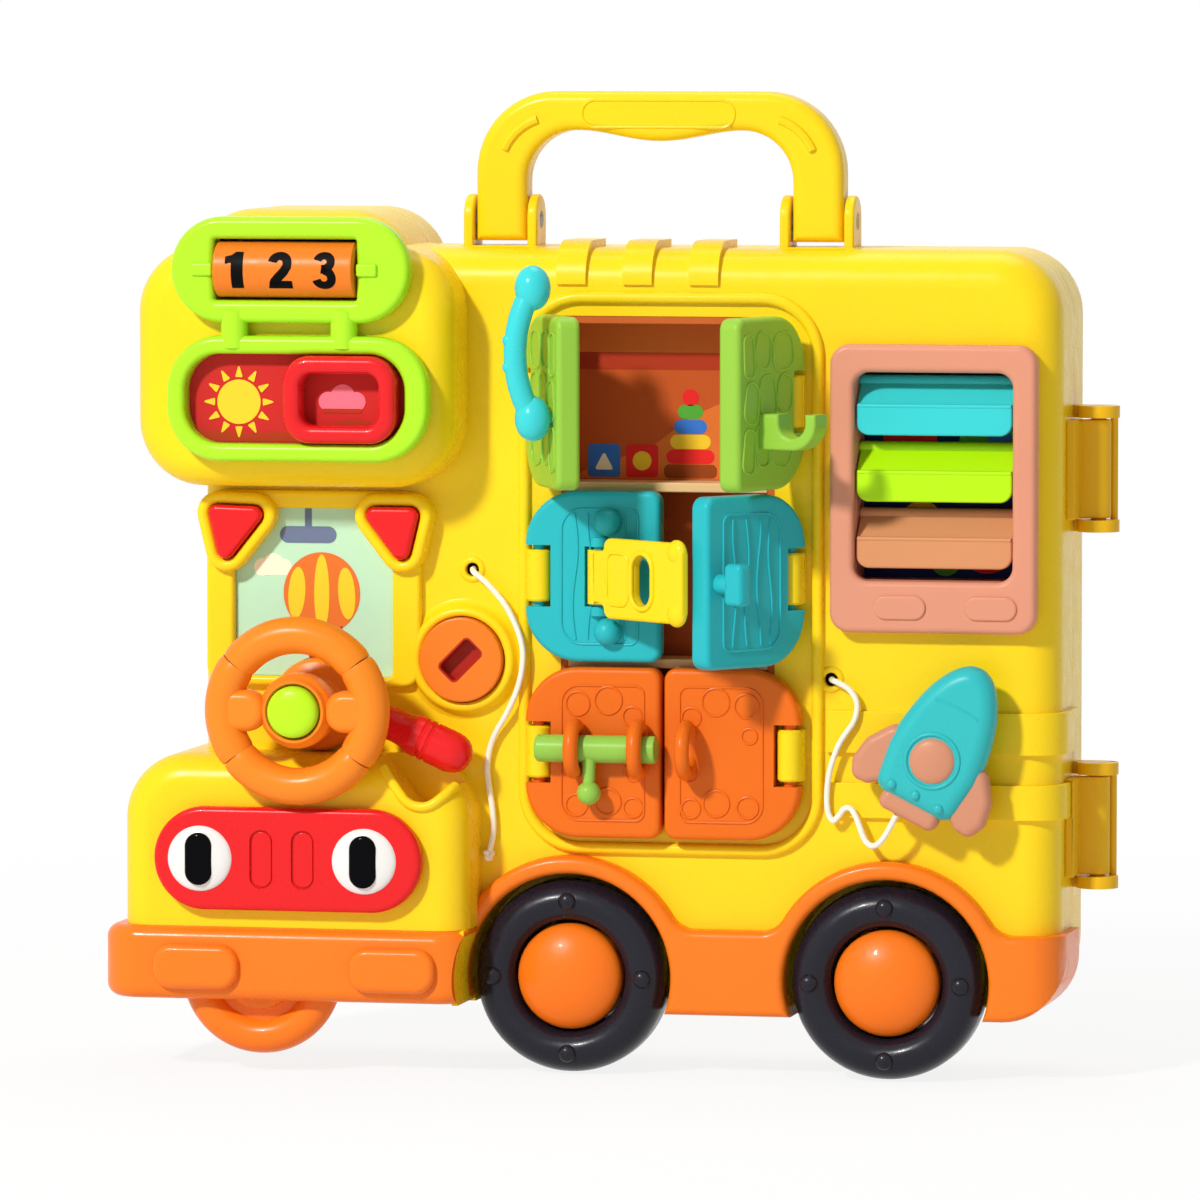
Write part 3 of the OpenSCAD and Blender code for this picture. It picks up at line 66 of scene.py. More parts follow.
TARGET = Vector((0.0, PANEL_Y, 158.4)) * MM
AZIMUTH, ELEVATION = radians(12.0), radians(3.9)
DISTANCE = 3.018
SENSOR = 36.0
FOCAL_PX, FRAME_PX, SHIFT_PX = 9055.0, 1200.0, -7.0


def aimed(name, data, place):
    """Camera or lamp that looks at the middle of the part."""
    obj = placed(name, data)
    obj.location = place
    obj.rotation_mode = "QUATERNION"
    obj.rotation_quaternion = (Vector(place) - TARGET).to_track_quat("Z", "Y")
    return obj


back = Vector((sin(AZIMUTH) * cos(ELEVATION), -cos(AZIMUTH) * cos(ELEVATION), sin(ELEVATION)))
camera_data = bpy.data.cameras.new("camera")
camera_data.sensor_width = SENSOR
camera_data.lens = SENSOR * FOCAL_PX / FRAME_PX
camera_data.shift_x = SHIFT_PX / FRAME_PX
camera_data.clip_end = 50.0
scene.camera = aimed("camera", camera_data, TARGET + back * DISTANCE)
scene.view_settings.view_transform = "Standard"


# Materials


def linear(rgb):
    """Linear colour of an sRGB triple of 0 to 255."""
    def one(c):
        c /= 255.0
        return c / 12.92 if c <= 0.04045 else ((c + 0.055) / 1.055) ** 2.4
    return tuple(one(c) for c in rgb)


def feed(tree, shader, inputs):
    """Sets a shader node's inputs to values or to other nodes' outputs."""
    for key, value in inputs.items():
        if isinstance(value, bpy.types.NodeSocket):
            tree.links.new(value, shader.inputs[key])
        else:
            shader.inputs[key].default_value = value


def add(tree, kind, inputs=None, **settings):
    """New shader node; settings are made before the inputs, which some of them change."""
    shader = tree.nodes.new("ShaderNode" + kind)
    for key, value in settings.items():
        setattr(shader, key, value)
    feed(tree, shader, inputs or {})
    return shader


def surface(name, rgb, rough=0.3, grain=0.03, tone=0.04, spec=0.2, coat=0.0, weave=0.0):
    """Plastic or print: tone drifts, scuffs change the gloss, and a fine grain bumps the skin."""
    mat = bpy.data.materials.new(name)
    mat.use_nodes = True
    tree = mat.node_tree
    place = add(tree, "TexCoord").outputs["Object"]
    dark = (*[c * (1.0 - tone) for c in linear(rgb)], 1.0)
    pale = (*[min(1.0, c * (1.0 + tone)) for c in linear(rgb)], 1.0)
    drift = add(tree, "TexNoise", {"Vector": place, "Scale": 22.0, "Detail": 3.0})
    mix = add(tree, "Mix", {"A": dark, "B": pale, "Factor": drift.outputs["Fac"]}, data_type="RGBA")
    scuff = add(tree, "TexNoise", {"Vector": place, "Scale": 140.0, "Detail": 6.0, "Roughness": 0.65})
    gloss = add(tree, "MapRange", {"Value": scuff.outputs["Fac"], "From Min": 0.35, "From Max": 0.75,
                                   "To Min": rough - 0.05, "To Max": rough + 0.1})
    if weave:
        skin = add(tree, "TexWave", {"Vector": place, "Scale": weave, "Distortion": 1.5},
                   bands_direction="DIAGONAL")
    else:
        skin = add(tree, "TexNoise", {"Vector": place, "Scale": 1400.0, "Detail": 2.0})
    bump = add(tree, "Bump", {"Height": skin.outputs["Fac"], "Strength": grain, "Distance": 0.0004})
    feed(tree, tree.nodes["Principled BSDF"], {
        "Specular IOR Level": spec, "Coat Weight": coat, "Base Color": mix.outputs["Result"],
        "Roughness": gloss.outputs["Result"], "Normal": bump.outputs["Normal"]})
    return mat


YELLOW = surface("yellow_moulding", (252, 214, 26), 0.28, grain=0.02)
YELLOW_HANDLE = surface("yellow_handle", (250, 211, 24), 0.26, grain=0.02)
# Hinge: the case's yellow darkened as painted shade, for hinge parts that face sideways.
HINGE_YELLOW_PAINTED_SHADE = surface("hinge_yellow_painted_shade", (238, 186, 24), 0.34)
YELLOW_HASP = surface("yellow_hasp", (243, 214, 26), 0.28)
ORANGE = surface("orange_skirt", (246, 124, 26), 0.28, coat=0.1)
ORANGE_HUB = surface("orange_hub", (248, 120, 24), 0.35, coat=0.1)
ORANGE_WHEEL = surface("orange_steering", (244, 136, 34))
ORANGE_DISC = surface("orange_key_disc", (236, 124, 34), 0.32)
ORANGE_DOOR = surface("orange_door", (230, 108, 20), 0.34)
TEAL = surface("teal_door", (38, 180, 190), 0.34)
TEAL_BRIGHT = surface("teal_bar", (58, 206, 210), 0.26, coat=0.1)
ROCKET_TEAL = surface("rocket_teal", (52, 186, 190))
GREEN = surface("green_door", (146, 196, 66), 0.34)
BOLT_GREEN = surface("bolt_green", (146, 198, 78))
LIME = surface("lime_sign", (174, 236, 36), 0.26, coat=0.1)
LIME_HORN = surface("lime_horn", (186, 236, 32), 0.28)
RED = surface("red_plate", (226, 24, 28), 0.24, coat=0.12)
RED_SLIDER = surface("red_slider", (224, 26, 30), 0.22, coat=0.15)
DARK_RED = surface("red_slot", (176, 34, 14), 0.4)
PINK = surface("pink_shutter", (220, 148, 120), 0.34)
SLAT_BLUE = surface("slat_teal", (56, 206, 210), 0.36)
SLAT_LIME = surface("slat_lime", (182, 240, 12), 0.36)
SLAT_TAN = surface("slat_tan", (214, 146, 100), 0.38)
ROCKET_TRIM = surface("rocket_trim", (208, 142, 112), 0.36)
NAVY = surface("navy_tyre", (27, 27, 38), 0.26, 0.06, tone=0.1, spec=0.22, coat=0.05)
WHITE = surface("white_disc", (234, 234, 232), 0.22, tone=0.01, coat=0.1)
BLACK = surface("black_gloss", (3, 3, 6), 0.1, tone=0.02, spec=0.06)
DIGIT = surface("digit_black", (9, 8, 8), 0.5, spec=0.06)
STEEL = surface("steel", (176, 178, 182), 0.32, grain=0.08)
CREAM = surface("cream_cord", (253, 247, 230), 0.75, grain=0.35, tone=0.03, weave=900.0)
CUPBOARD = surface("cupboard_brown", (200, 98, 42), 0.5, grain=0.1, spec=0.15)
SHELF = surface("shelf_cream", (238, 196, 140), 0.45, grain=0.1)
INKS = {
    "red": (234, 42, 40), "deep_red": (178, 58, 30), "orange": (226, 118, 50), "brown": (150, 70, 26),
    "rust": (198, 88, 36), "yellow": (248, 206, 50), "cream": (252, 240, 214), "mint": (188, 230, 198),
    "grey": (108, 122, 152), "navy": (20, 40, 96), "green": (88, 170, 60), "blue": (60, 120, 214),
    "pink": (244, 122, 140), "slider_red": (200, 44, 40),
}
INK = {name: surface("ink_" + name, rgb, 0.5, grain=0.16, spec=0.1)
       for name, rgb in INKS.items()}


# Outlines in the front view

def turns(n):
    return [2 * pi * i / n for i in range(n)]


def grow(box, by):
    left, right, low, high = box
    return left - by, right + by, low - by, high + by


def rrect(left, right, low, high, r, n=8):
    """Rectangle with round corners; r is one radius, or four from the lower left, anticlockwise."""
    r = [r] * 4 if isinstance(r, (int, float)) else list(r)
    corners = [(left, low, 1, 1, 180), (right, low, -1, 1, 270), (right, high, -1, -1, 0),
               (left, high, 1, -1, 90)]
    loop = []
    for (u, v, su, sv, start), rad in zip(corners, r):
        cu, cv = u + su * rad, v + sv * rad
        steps = n if rad > 0.01 else 0
        for i in range(steps + 1):
            a = radians(start + (90.0 * i / steps if steps else 45.0))
            loop.append((cu + rad * cos(a), cv + rad * sin(a)))
    return loop


def pill(left, right, low, high, n=12):
    return rrect(left, right, low, high, min(right - left, high - low) / 2 - 0.001, n)


def disc(u, v, r, n=64, squeeze=1.0, turn=0.0):
    c, s = cos(radians(turn)), sin(radians(turn))
    ring = [(r * cos(a), r * squeeze * sin(a)) for a in turns(n)]
    return [(u + c * x - s * y, v + s * x + c * y) for x, y in ring]


def arc(u, v, r, start, end, n=16):
    angles = [radians(start + (end - start) * i / n) for i in range(n + 1)]
    return [(u + r * cos(a), v + r * sin(a)) for a in angles]


def soft(points, r, n=6):
    """Polygon with each corner rounded to a radius."""
    out = []
    count = len(points)
    radii = [r] * count if isinstance(r, (int, float)) else r
    for i in range(count):
        p, q, s = (Vector(points[(i + k) % count]) for k in (-1, 0, 1))
        a, b = (p - q).normalized(), (s - q).normalized()
        half = a.angle(b) / 2
        reach = radii[i] / tan(half)
        centre = q + (a + b).normalized() * (radii[i] / sin(half))
        start, end = q + a * reach - centre, q + b * reach - centre
        angle = start.angle_signed(end)
        for k in range(n + 1):
            t = -angle * k / n
            out.append((centre.x + start.x * cos(t) - start.y * sin(t),
                        centre.y + start.x * sin(t) + start.y * cos(t)))
    return out


def turned(loop, lean, to):
    """Outline turned about the origin and moved to a place."""
    c, s = cos(radians(lean)), sin(radians(lean))
    return [(c * u - s * v + to[0], s * u + c * v + to[1]) for u, v in loop]


def grown(corners, r, n=10):
    """Outline round three corner circles."""
    pts = [Vector(p) for p in corners]
    middle = sum(pts, Vector((0, 0))) / 3
    pts.sort(key=lambda p: atan2(p.y - middle.y, p.x - middle.x))
    loop = []
    for i in range(3):
        p, q, s = pts[i - 1], pts[i], pts[(i + 1) % 3]
        a = atan2(-(q - p).x, (q - p).y)
        b = atan2(-(s - q).x, (s - q).y)
        while b < a:
            b += 2 * pi
        loop += arc(q.x, q.y, r, degrees(a), degrees(b), n)
    return loop


def stroke(points, width):
    """Outline of a line with a width, with flat ends."""
    pts = [Vector(p) for p in points]
    left, right = [], []
    for i, p in enumerate(pts):
        along = (pts[min(i + 1, len(pts) - 1)] - pts[max(i - 1, 0)]).normalized()
        side = Vector((-along.y, along.x)) * width / 2
        left.append(tuple(p + side))
        right.append(tuple(p - side))
    return left + right[::-1]


# Forms: bmeshes of (u, v, outwards)

def mesh_of(obj):
    """Mesh of an object with its modifiers, as a bmesh; the object is deleted."""
    data = bpy.data.meshes.new_from_object(obj.evaluated_get(bpy.context.evaluated_depsgraph_get()))
    bm = bmesh.new()
    bm.from_mesh(data)
    bpy.data.meshes.remove(data)
    bpy.data.objects.remove(obj)
    return bm


def trim(bm, at, normal):
    """Cuts off what lies beyond a plane and closes the cut."""
    geom = bm.verts[:] + bm.edges[:] + bm.faces[:]
    cut_edges = bmesh.ops.bisect_plane(bm, geom=geom, dist=0.0005, plane_co=at, plane_no=normal,
                                       clear_outer=True)["geom_cut"]
    edges = [e for e in cut_edges if isinstance(e, bmesh.types.BMEdge) and e.is_valid]
    bmesh.ops.triangle_fill(bm, edges=edges, use_beauty=True)
    return bm


SIDES = {"left": (-1, 0), "right": (1, 0), "low": (0, -1), "high": (0, 1)}


def clip(bm, **sides):
    """Cuts off what lies beyond the named sides."""
    for side, at in sides.items():
        u, v = SIDES[side]
        trim(bm, (at * abs(u), at * abs(v), 0), (u, v, 0))
    return bm


def slab(loops, front, back, bevel=0.0, steps=3, back_round=True):
    """Front view outlines, holes among them, from one depth to another, with round edges."""
    curve = bpy.data.curves.new("outline", "CURVE")
    curve.dimensions = "2D"
    curve.fill_mode = "BOTH"
    for loop in loops:
        spline = curve.splines.new("POLY")
        spline.points.add(len(loop) - 1)
        for point, (u, v) in zip(spline.points, loop):
            point.co = (u, v, 0.0, 1.0)
        spline.use_cyclic_u = True
    far = back if back_round or not bevel else back + 2 * bevel
    curve.extrude = max((far - front) / 2 - bevel, 0.0)
    curve.bevel_depth = bevel
    curve.bevel_resolution = steps
    curve.offset = -bevel
    bm = mesh_of(placed("outline", curve))
    bpy.data.curves.remove(curve)
    bmesh.ops.remove_doubles(bm, verts=bm.verts, dist=0.002)
    bmesh.ops.translate(bm, verts=bm.verts, vec=(0, 0, -(front + far) / 2))
    if far != back:
        trim(bm, (0, 0, -back), (0, 0, -1))
    return bm


def box_cut(left, right, low, high, front, back):
    return slab([[(left, low), (right, low), (right, high), (left, high)]], front, back)


def plan_slab(loop, low, high, bevel, steps=4):
    """Plan outline of (u, outwards) between two heights, with round top and bottom edges."""
    bm = slab([loop], -high, -low, bevel, steps)
    bm.transform(Matrix(((1, 0, 0, 0), (0, 0, 1, 0), (0, 1, 0, 0), (0, 0, 0, 1))))
    return bm


def lathe(profile, n=64, centre=(0.0, 0.0)):
    """Turned form about the depth axis, from (radius, depth) pairs."""
    bm = bmesh.new()
    rings = []
    for r, y in profile:
        angles = turns(n) if r > 1e-6 else [0.0]
        rings.append([bm.verts.new((centre[0] + r * cos(a), centre[1] + r * sin(a), -y)) for a in angles])
    for a, b in zip(rings, rings[1:]):
        for i in range(n):
            j = (i + 1) % n
            face = [a[i % len(a)], a[j % len(a)], b[j % len(b)], b[i % len(b)]]
            unique = [v for k, v in enumerate(face) if v not in face[:k]]
            if len(unique) > 2:
                bm.faces.new(unique)
    return bm


def tube(path, radius, n=16, closed=False):
    """Round bar along points (u, depth, v); radius is one number or one for each point."""
    points = [Vector((u, v, -y)) for u, y, v in path]
    count = len(points)
    radii = [radius] * count if isinstance(radius, (int, float)) else radius
    bm = bmesh.new()
    rings = []
    side = None
    for i, p in enumerate(points):
        before = points[(i - 1) % count] if closed or i else p
        after = points[(i + 1) % count] if closed or i < count - 1 else p
        along = (after - before).normalized()
        if side is None:
            side = along.orthogonal().normalized()
        side = (side - along * side.dot(along)).normalized()
        other = along.cross(side)
        rings.append([bm.verts.new(p + radii[i] * (cos(a) * side + sin(a) * other)) for a in turns(n)])
    pairs = list(zip(rings, rings[1:]))
    if closed:
        first = min(range(n), key=lambda k: (rings[0][k].co - rings[-1][0].co).length)
        pairs.append((rings[-1], rings[0][first:] + rings[0][:first]))
    for a, b in pairs:
        for k in range(n):
            bm.faces.new((a[k], a[(k + 1) % n], b[(k + 1) % n], b[k]))
    if not closed:
        bm.faces.new(rings[0])
        bm.faces.new(rings[-1])
    return bm


def upright(u, y, low, high, r, n=20):
    """Vertical bar."""
    return tube([(u, y, low), (u, y, high)], r, n)


def ball(u, y, v, r, stretch=(1.0, 1.0, 1.0)):
    bm = bmesh.new()
    bmesh.ops.create_uvsphere(bm, u_segments=32, v_segments=20, radius=r)
    bmesh.ops.scale(bm, verts=bm.verts, vec=(stretch[0], stretch[2], stretch[1]))
    bmesh.ops.translate(bm, verts=bm.verts, vec=(u, v, -y))
    return bm


def rounded_box(a, b, r, steps=3):
    """Box between two corners (u, depth, v) with all edges round."""
    bm = bmesh.new()
    bmesh.ops.create_cube(bm, size=1.0)
    middle = [(p + q) / 2 for p, q in zip(a, b)]
    bmesh.ops.scale(bm, verts=bm.verts, vec=(b[0] - a[0], b[2] - a[2], b[1] - a[1]))
    bmesh.ops.translate(bm, verts=bm.verts, vec=(middle[0], middle[2], -middle[1]))
    bmesh.ops.bevel(bm, geom=bm.edges[:], offset=r, offset_type="OFFSET", segments=steps,
                    profile=0.5, affect="EDGES", clamp_overlap=True)
    return bm


def as_object(bm, name="shape"):
    """Object of a form, which is used up."""
    bmesh.ops.recalc_face_normals(bm, faces=bm.faces)
    data = bpy.data.meshes.new(name)
    bm.to_mesh(data)
    bm.free()
    return placed(name, data)


def combine(bm, others, operation="DIFFERENCE"):
    """Boolean of one closed form with others."""
    obj = as_object(bm)
    tools = [as_object(o) for o in others]
    for tool in tools:
        mod = obj.modifiers.new("cut", "BOOLEAN")
        mod.operation = operation
        mod.solver = "EXACT"
        mod.object = tool
    out = mesh_of(obj)
    for tool in tools:
        bpy.data.objects.remove(tool)
    return out


# Frames: each takes a form's (u, v, outwards) in millimetres to its place in metres

def move(u, y, v):
    return Matrix.Translation((u, y, v))


def spin(angle, axis):
    return Matrix.Rotation(radians(angle), 4, axis)


FACING = Matrix(((1, 0, 0, 0), (0, 0, -1, 0), (0, 1, 0, 0), (0, 0, 0, 1)))
ALONG_U = Matrix(((0, 0, 1, 0), (1, 0, 0, 0), (0, 1, 0, 0), (0, 0, 0, 1)))
PANEL = Matrix.Scale(MM, 4) @ move(0, PANEL_Y, 0)
FRONT = PANEL @ FACING
HINGE_LEFT, HINGE_RIGHT, HINGE_Y = -22.0, 63.2, -5.5
ROWS = (108.0, 166.8, 225.6)


def left_door(row, opening):
    return PANEL @ move(HINGE_LEFT, HINGE_Y, ROWS[row]) @ spin(-opening, "Z") @ FACING


def right_door(row, opening):
    return (PANEL @ move(HINGE_RIGHT, HINGE_Y, ROWS[row]) @ spin(opening, "Z")
            @ Matrix.Scale(-1, 4, (1, 0, 0)) @ FACING)


# Pieces

def finish_edges(obj, bevel):
    """Rounds sharp edges a little and keeps flat faces flat."""
    if bevel:
        soften = obj.modifiers.new("soften", "BEVEL")
        soften.width = bevel * MM
        soften.segments = 2
        soften.limit_method = "ANGLE"
        soften.angle_limit = radians(35)
        soften.use_clamp_overlap = True
        soften.harden_normals = False
    flat = obj.modifiers.new("normals", "WEIGHTED_NORMAL")
    flat.keep_sharp = True


def piece(name, forms, material, node=None, body="case", at=FRONT, sharp=40.0, bevel=0.0):
    """One visible piece from several forms, smooth shaded, on a body, in place of a CAD node."""
    whole = bmesh.new()
    for form in forms:
        form.transform(at)
        data = bpy.data.meshes.new("form")
        form.to_mesh(data)
        form.free()
        whole.from_mesh(data)
        bpy.data.meshes.remove(data)
    obj = as_object(whole, name)
    obj.data.shade_smooth()
    obj.data.set_sharp_from_angle(angle=radians(sharp))
    obj.data.materials.append(material)
    finish_edges(obj, bevel)
    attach(obj, body)
    if node:
        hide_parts(node)
    return obj


def moving(name, forms, material, node, **more):
    """Piece that rides on the body of the same name as its CAD node."""
    return piece(name, forms, material, node, node, **more)


def carried(name, material, bevel=0.0):
    """CAD node that stays, with a better material and soft edges."""
    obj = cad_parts[name]
    for s in obj.material_slots:
        s.material = material
    if bevel:
        weld = obj.modifiers.new("weld", "WELD")
        weld.merge_threshold = 0.00001
    finish_edges(obj, bevel)


def art(name, ink, depth, loops, lift=1):
    """A printed shape on a card; higher lifts lie on lower ones."""
    front, sheet = depth - 0.08 * lift, 0.012
    sheets = [slab([loop], front - sheet * i, depth + 0.02) for i, loop in enumerate(loops)]
    return piece(name, sheets, INK[ink])


# Cords

CORD_R = 1.0
LEFT_ROUTE = [
    (-46, 6, 168), (-46, 1, 168), (-44.6, -2.4, 167), (-41, -3.6, 164.4), (-37.2, -4, 160.7),
    (-33.6, -4.2, 156.2), (-30.8, -4.4, 151.2), (-28.7, -4.6, 146), (-27.7, -4.6, 140.5),
    (-28.2, -4.6, 134), (-29.8, -4.4, 128), (-32, -4, 123), (-34.4, -3.4, 118.6),
    (-37, -2.8, 114.4), (-39, -2.4, 110), (-40.2, -2.2, 105), (-40.4, -2.2, 100),
    (-39.6, -2.2, 94), (-38.6, -2.2, 87), (-38.4, -2.2, 80), (-40, -2.2, 72.5)]
RIGHT_ROUTE = [
    (76, 6, 133), (76, 1, 133), (77.4, -2.4, 132.8), (80, -3, 131.8), (82.8, -3.2, 130),
    (85, -3.4, 127), (85.5, -3.6, 123.5), (84.4, -3.8, 119.4), (82, -4, 115.8),
    (79.6, -4.2, 112), (77.8, -4.2, 107.6), (76.4, -4.2, 103), (75.6, -4, 98),
    (75.4, -4, 93), (76, -4, 88.6), (77.6, -4, 86.4), (79.4, -4, 88), (81.2, -4, 90.4),
    (83.4, -4.2, 90.6), (85.2, -4.6, 88.2), (86.8, -5.4, 84.6), (88.4, -6.6, 81),
    (90.8, -8.2, 78.8), (93.6, -9.8, 79.4), (96.2, -11.2, 82.2), (98.4, -12.2, 85.8),
    (100.4, -12.5, 89.6)]
CORD_HOLES = [(route[0][0], route[0][2]) for route in (LEFT_ROUTE, RIGHT_ROUTE)]


def smooth_path(route, parts=5):
    """Catmull-Rom curve through a route's points."""
    pts = [Vector(p) for p in route]
    out = []
    for i in range(len(pts) - 1):
        a, b, c, d = pts[max(i - 1, 0)], pts[i], pts[i + 1], pts[min(i + 2, len(pts) - 1)]
        for k in range(parts):
            t = k / parts
            out.append(0.5 * (2 * b + (c - a) * t + (2 * a - 5 * b + 4 * c - d) * t * t
                              + (3 * b - a - 3 * c + d) * t ** 3))
    return out + [pts[-1]]


def make_cord(name, route, node):
    """Limp cord along a route of (u, depth, v) points, from its hole in the panel."""
    path = smooth_path(route)
    curve = bpy.data.curves.new(name, "CURVE")
    curve.dimensions = "3D"
    curve.bevel_depth = CORD_R * MM
    curve.bevel_resolution = 5
    curve.use_fill_caps = True
    spline = curve.splines.new("POLY")
    spline.points.add(len(path) - 1)
    for point, p in zip(spline.points, path):
        point.co = (*(PANEL @ p), 1.0)
    curve.materials.append(CREAM)
    obj = placed(name, curve)
    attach(obj, "case")
    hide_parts(node)


KNOT_U, KNOT_Y, KNOT_V = LEFT_ROUTE[-1]
knot_path = [(KNOT_U + 0.46 * (sin(a) + 2 * sin(2 * a)), KNOT_Y - 0.9 * sin(3 * a),
              KNOT_V + 0.46 * (cos(a) - 2 * cos(2 * a))) for a in turns(60)]
knot = piece("left_knot", [tube(knot_path, 0.85, 12, closed=True)], CREAM, "cord_left_knot")
make_cord("left_cord", LEFT_ROUTE, "cord_left")
make_cord("right_cord", RIGHT_ROUTE, "cord_right")


# Case, cab and hood

CASE, CASE_EDGE, CORNER = (-140, 152, 23, 275.5), 12, 22
CAB, ROOF = (-156, -47.5, 196, 276.3), (-144, -66, 210, 288)
HOOD, HOOD_EDGE = (-161, -43, 5, 106.5), 10
FACE = -26
SEAM_FRONT, SEAM_BACK, PAST_SEAM = 31.85, 32.15, 45
WALL = 2.5
STRAP_WALL, STRAP_GAP = 1.2, 0.15
WHEELS, AXLE_V = (-12.0, 95.5), 32.5
WELL_R, WELL_OUT = 34.5, 36.9
BUMPER_LOW, SKIRT_TOP = 24.5, 49.0
CUP = (-15.7, 56.9, 83.5, 253.1)
WINDOW, SLEEVE = (84.5, 137.7, 166.4, 235.4), 2
BEAD = (-30.0, 73.6, 73.5, 261.2)
SCREEN = (-127.3, -72.7, 131.5, 188)
BUTTONS = {"button_left": ((-131.8, 186.2), (-119.5, 185.8), (-128.9, 174)),
           "button_right": ((-77.5, 186), (-65.8, 186), (-68.6, 174.4))}
KEY, STEER, LEVER = (-48.8, 138.0), (-98.0, 122.4), (-71.7, 117.5)
LEVER_REACH, LEVER_REST, LEVER_SWING = 23.8, 24, 30


def shell_block(box, inset, front, back, edge, steps=8):
    """Block with round corners and a round front edge, drawn in by an inset."""
    outline = rrect(*grow(box, -inset), CORNER - inset, 12)
    return slab([outline], front, back, edge - inset, steps, back_round=False)


def case_block(inset, front, back, steps=8):
    return shell_block(CASE, inset, front, back, CASE_EDGE, steps)


def cab_form(inset, back):
    """Cab with its raised roof and the backing of the sign."""
    brow = shell_block(CAB, inset, FACE + inset, back, 10)
    roof = shell_block(ROOF, inset, inset - 14, back, 20, 12)
    outline = rrect(*grow((-137.2, -69, 255.2, 282.3), -inset), 12 - inset, 10)
    backing = slab([outline], FACE - 0.02 + inset, 2.5, 4 - inset, 4)
    return combine(brow, [roof, backing], "UNION")


def hood_block(inset, back):
    """Hood above the bumper; the inset leaves its lower end alone."""
    left, right, low, high = HOOD
    bm = shell_block((left, right, low - inset, high), inset, FACE + inset, back, HOOD_EDGE)
    return clip(bm, low=SKIRT_TOP)


def lever_fan():
    """Outline of the room in the hood that the lever swings through."""
    spots = [LEVER] + arc(*LEVER, LEVER_REACH, -LEVER_REST, -LEVER_REST - LEVER_SWING, 6)
    points = [Vector(p) for u, v in spots for p in disc(u, v, 8.0, 40)]
    return [tuple(points[i]) for i in convex_hull_2d(points)]


def hood_surface(u, v):
    """Depth of the hood's front at a place, or nothing outside it."""
    right, top = HOOD[1], HOOD[3]
    if u > right - CORNER and v > top - CORNER:
        inside = CORNER - hypot(u - right + CORNER, v - top + CORNER)
    else:
        inside = min(right - u, top - v)
    if inside < 0.4:
        return None
    fall = max(HOOD_EDGE - inside, 0)
    return FACE + HOOD_EDGE - sqrt(HOOD_EDGE ** 2 - fall ** 2)


def well(x, r, front, back, *holes):
    """Disc about a wheel's axle, with round holes."""
    return slab([disc(x, AXLE_V, radius, 96) for radius in (r, *holes)], front, back)


def strap(box, front, edge, **sides):
    """Raised band over the case's front edge, between the named sides and hollow behind."""
    block = shell_block(box, 0, front, SEAM_FRONT - STRAP_GAP, edge)
    return combine(clip(block, **sides), [case_block(STRAP_WALL, STRAP_WALL, PAST_SEAM)])


cord_holes = [slab([disc(u, v, 2.3, 24)], -3, 6) for u, v in CORD_HOLES]
front = combine(case_block(0, 0, SEAM_FRONT), [
    case_block(WALL, WALL, PAST_SEAM), box_cut(*CUP, -5, 10), box_cut(*grow(WINDOW, SLEEVE), -5, 10),
    *[well(x, WELL_R, -20, 40) for x in WHEELS], *cord_holes])
wells = []
for x in WHEELS:
    for form in (well(x, WELL_OUT, 1, 18.5, WELL_R), well(x, WELL_OUT, 16, 18.5)):
        wells.append(clip(form, low=CASE[2]))
bead = slab([rrect(*BEAD, 21, 14), rrect(*grow(BEAD, -4), 17, 14)], -2.6, 1.6, 1.9, 6)
key_ring = lathe([(14.6, 0.4), (14.6, -3.2), (15.2, -3.9), (16.0, -4.1), (17.0, -3.8), (17.7, -3.0),
                  (18.2, -1.4), (19.2, -0.5), (20.2, -0.1), (20.4, 0.4)], 72, KEY)
grommets = [lathe([(2.3, 0.4), (2.4, -0.5), (2.9, -0.9), (3.6, -0.9), (4.2, -0.5), (4.6, 0.2)], 40, c)
            for c in CORD_HOLES]
screen_frame = slab([rrect(-136.8, -63.2, 128.4, 194, 6), rrect(*SCREEN, 2)], -4, 6, 1.4, 4)
mounts = [slab([grown(c, 7.4), grown(c, 3.35)], -8, 11.5, 2.0, 6) for c in BUTTONS.values()]
ribs = [strap((-140, 152, 23, 278), -1.4, 13.2, left=x - 5.0, right=x + 5.0, low=263.6)
        for x in (-12.1, 10.4, 32.9)]
bands = [strap((-140, 154, 23, 277.5), -2, 13, left=74.6, low=low, high=high)
         for low, high in ((87.3, 98.9), (108.9, 122.8))]
piece("case_front", [front] + wells, YELLOW, "front_shell", sharp=32)
piece("panel_relief", [bead, key_ring, screen_frame] + grommets + mounts, YELLOW)
piece("case_ribs", ribs, YELLOW, sharp=32, bevel=0.9)
piece("case_bands", bands, YELLOW, sharp=32, bevel=0.5)

roller_room = box_cut(-126.3, -77.9, 258.75, 278.75, -36, -18.5)
cab = combine(cab_form(0, SEAM_FRONT), [cab_form(WALL, PAST_SEAM), roller_room])
piece("cab", [cab], YELLOW, "cab_housing", sharp=32)

fan = lever_fan()
hollow = combine(hood_block(WALL, PAST_SEAM), [box_cut(-79.7, -40, 83.2, 110, -30, -3.5)])
hood = combine(hood_block(0, SEAM_FRONT), [hollow, slab([fan], -31, -6.0),
                                           well(WHEELS[0], WELL_R, -30, 17)])
well_side = clip(well(WHEELS[0], 36.6, -24.5, 2, 34.7), right=-43.6, high=SKIRT_TOP, low=24)
edge = [(u, hood_surface(u, v), v) for a, b in zip(fan, fan[1:] + fan[:1]) for k in range(4)
        for u, v in [(a[0] + (b[0] - a[0]) * k / 4, a[1] + (b[1] - a[1]) * k / 4)]]
first = next(i for i in range(len(edge)) if edge[i - 1][1] is None and edge[i][1] is not None)
edge = [q for q in edge[first:] + edge[:first] if q[1] is not None]
piece("hood", [hood, well_side, tube(edge, 1.7, 14)], YELLOW, "hood_housing", sharp=32)


# Back half

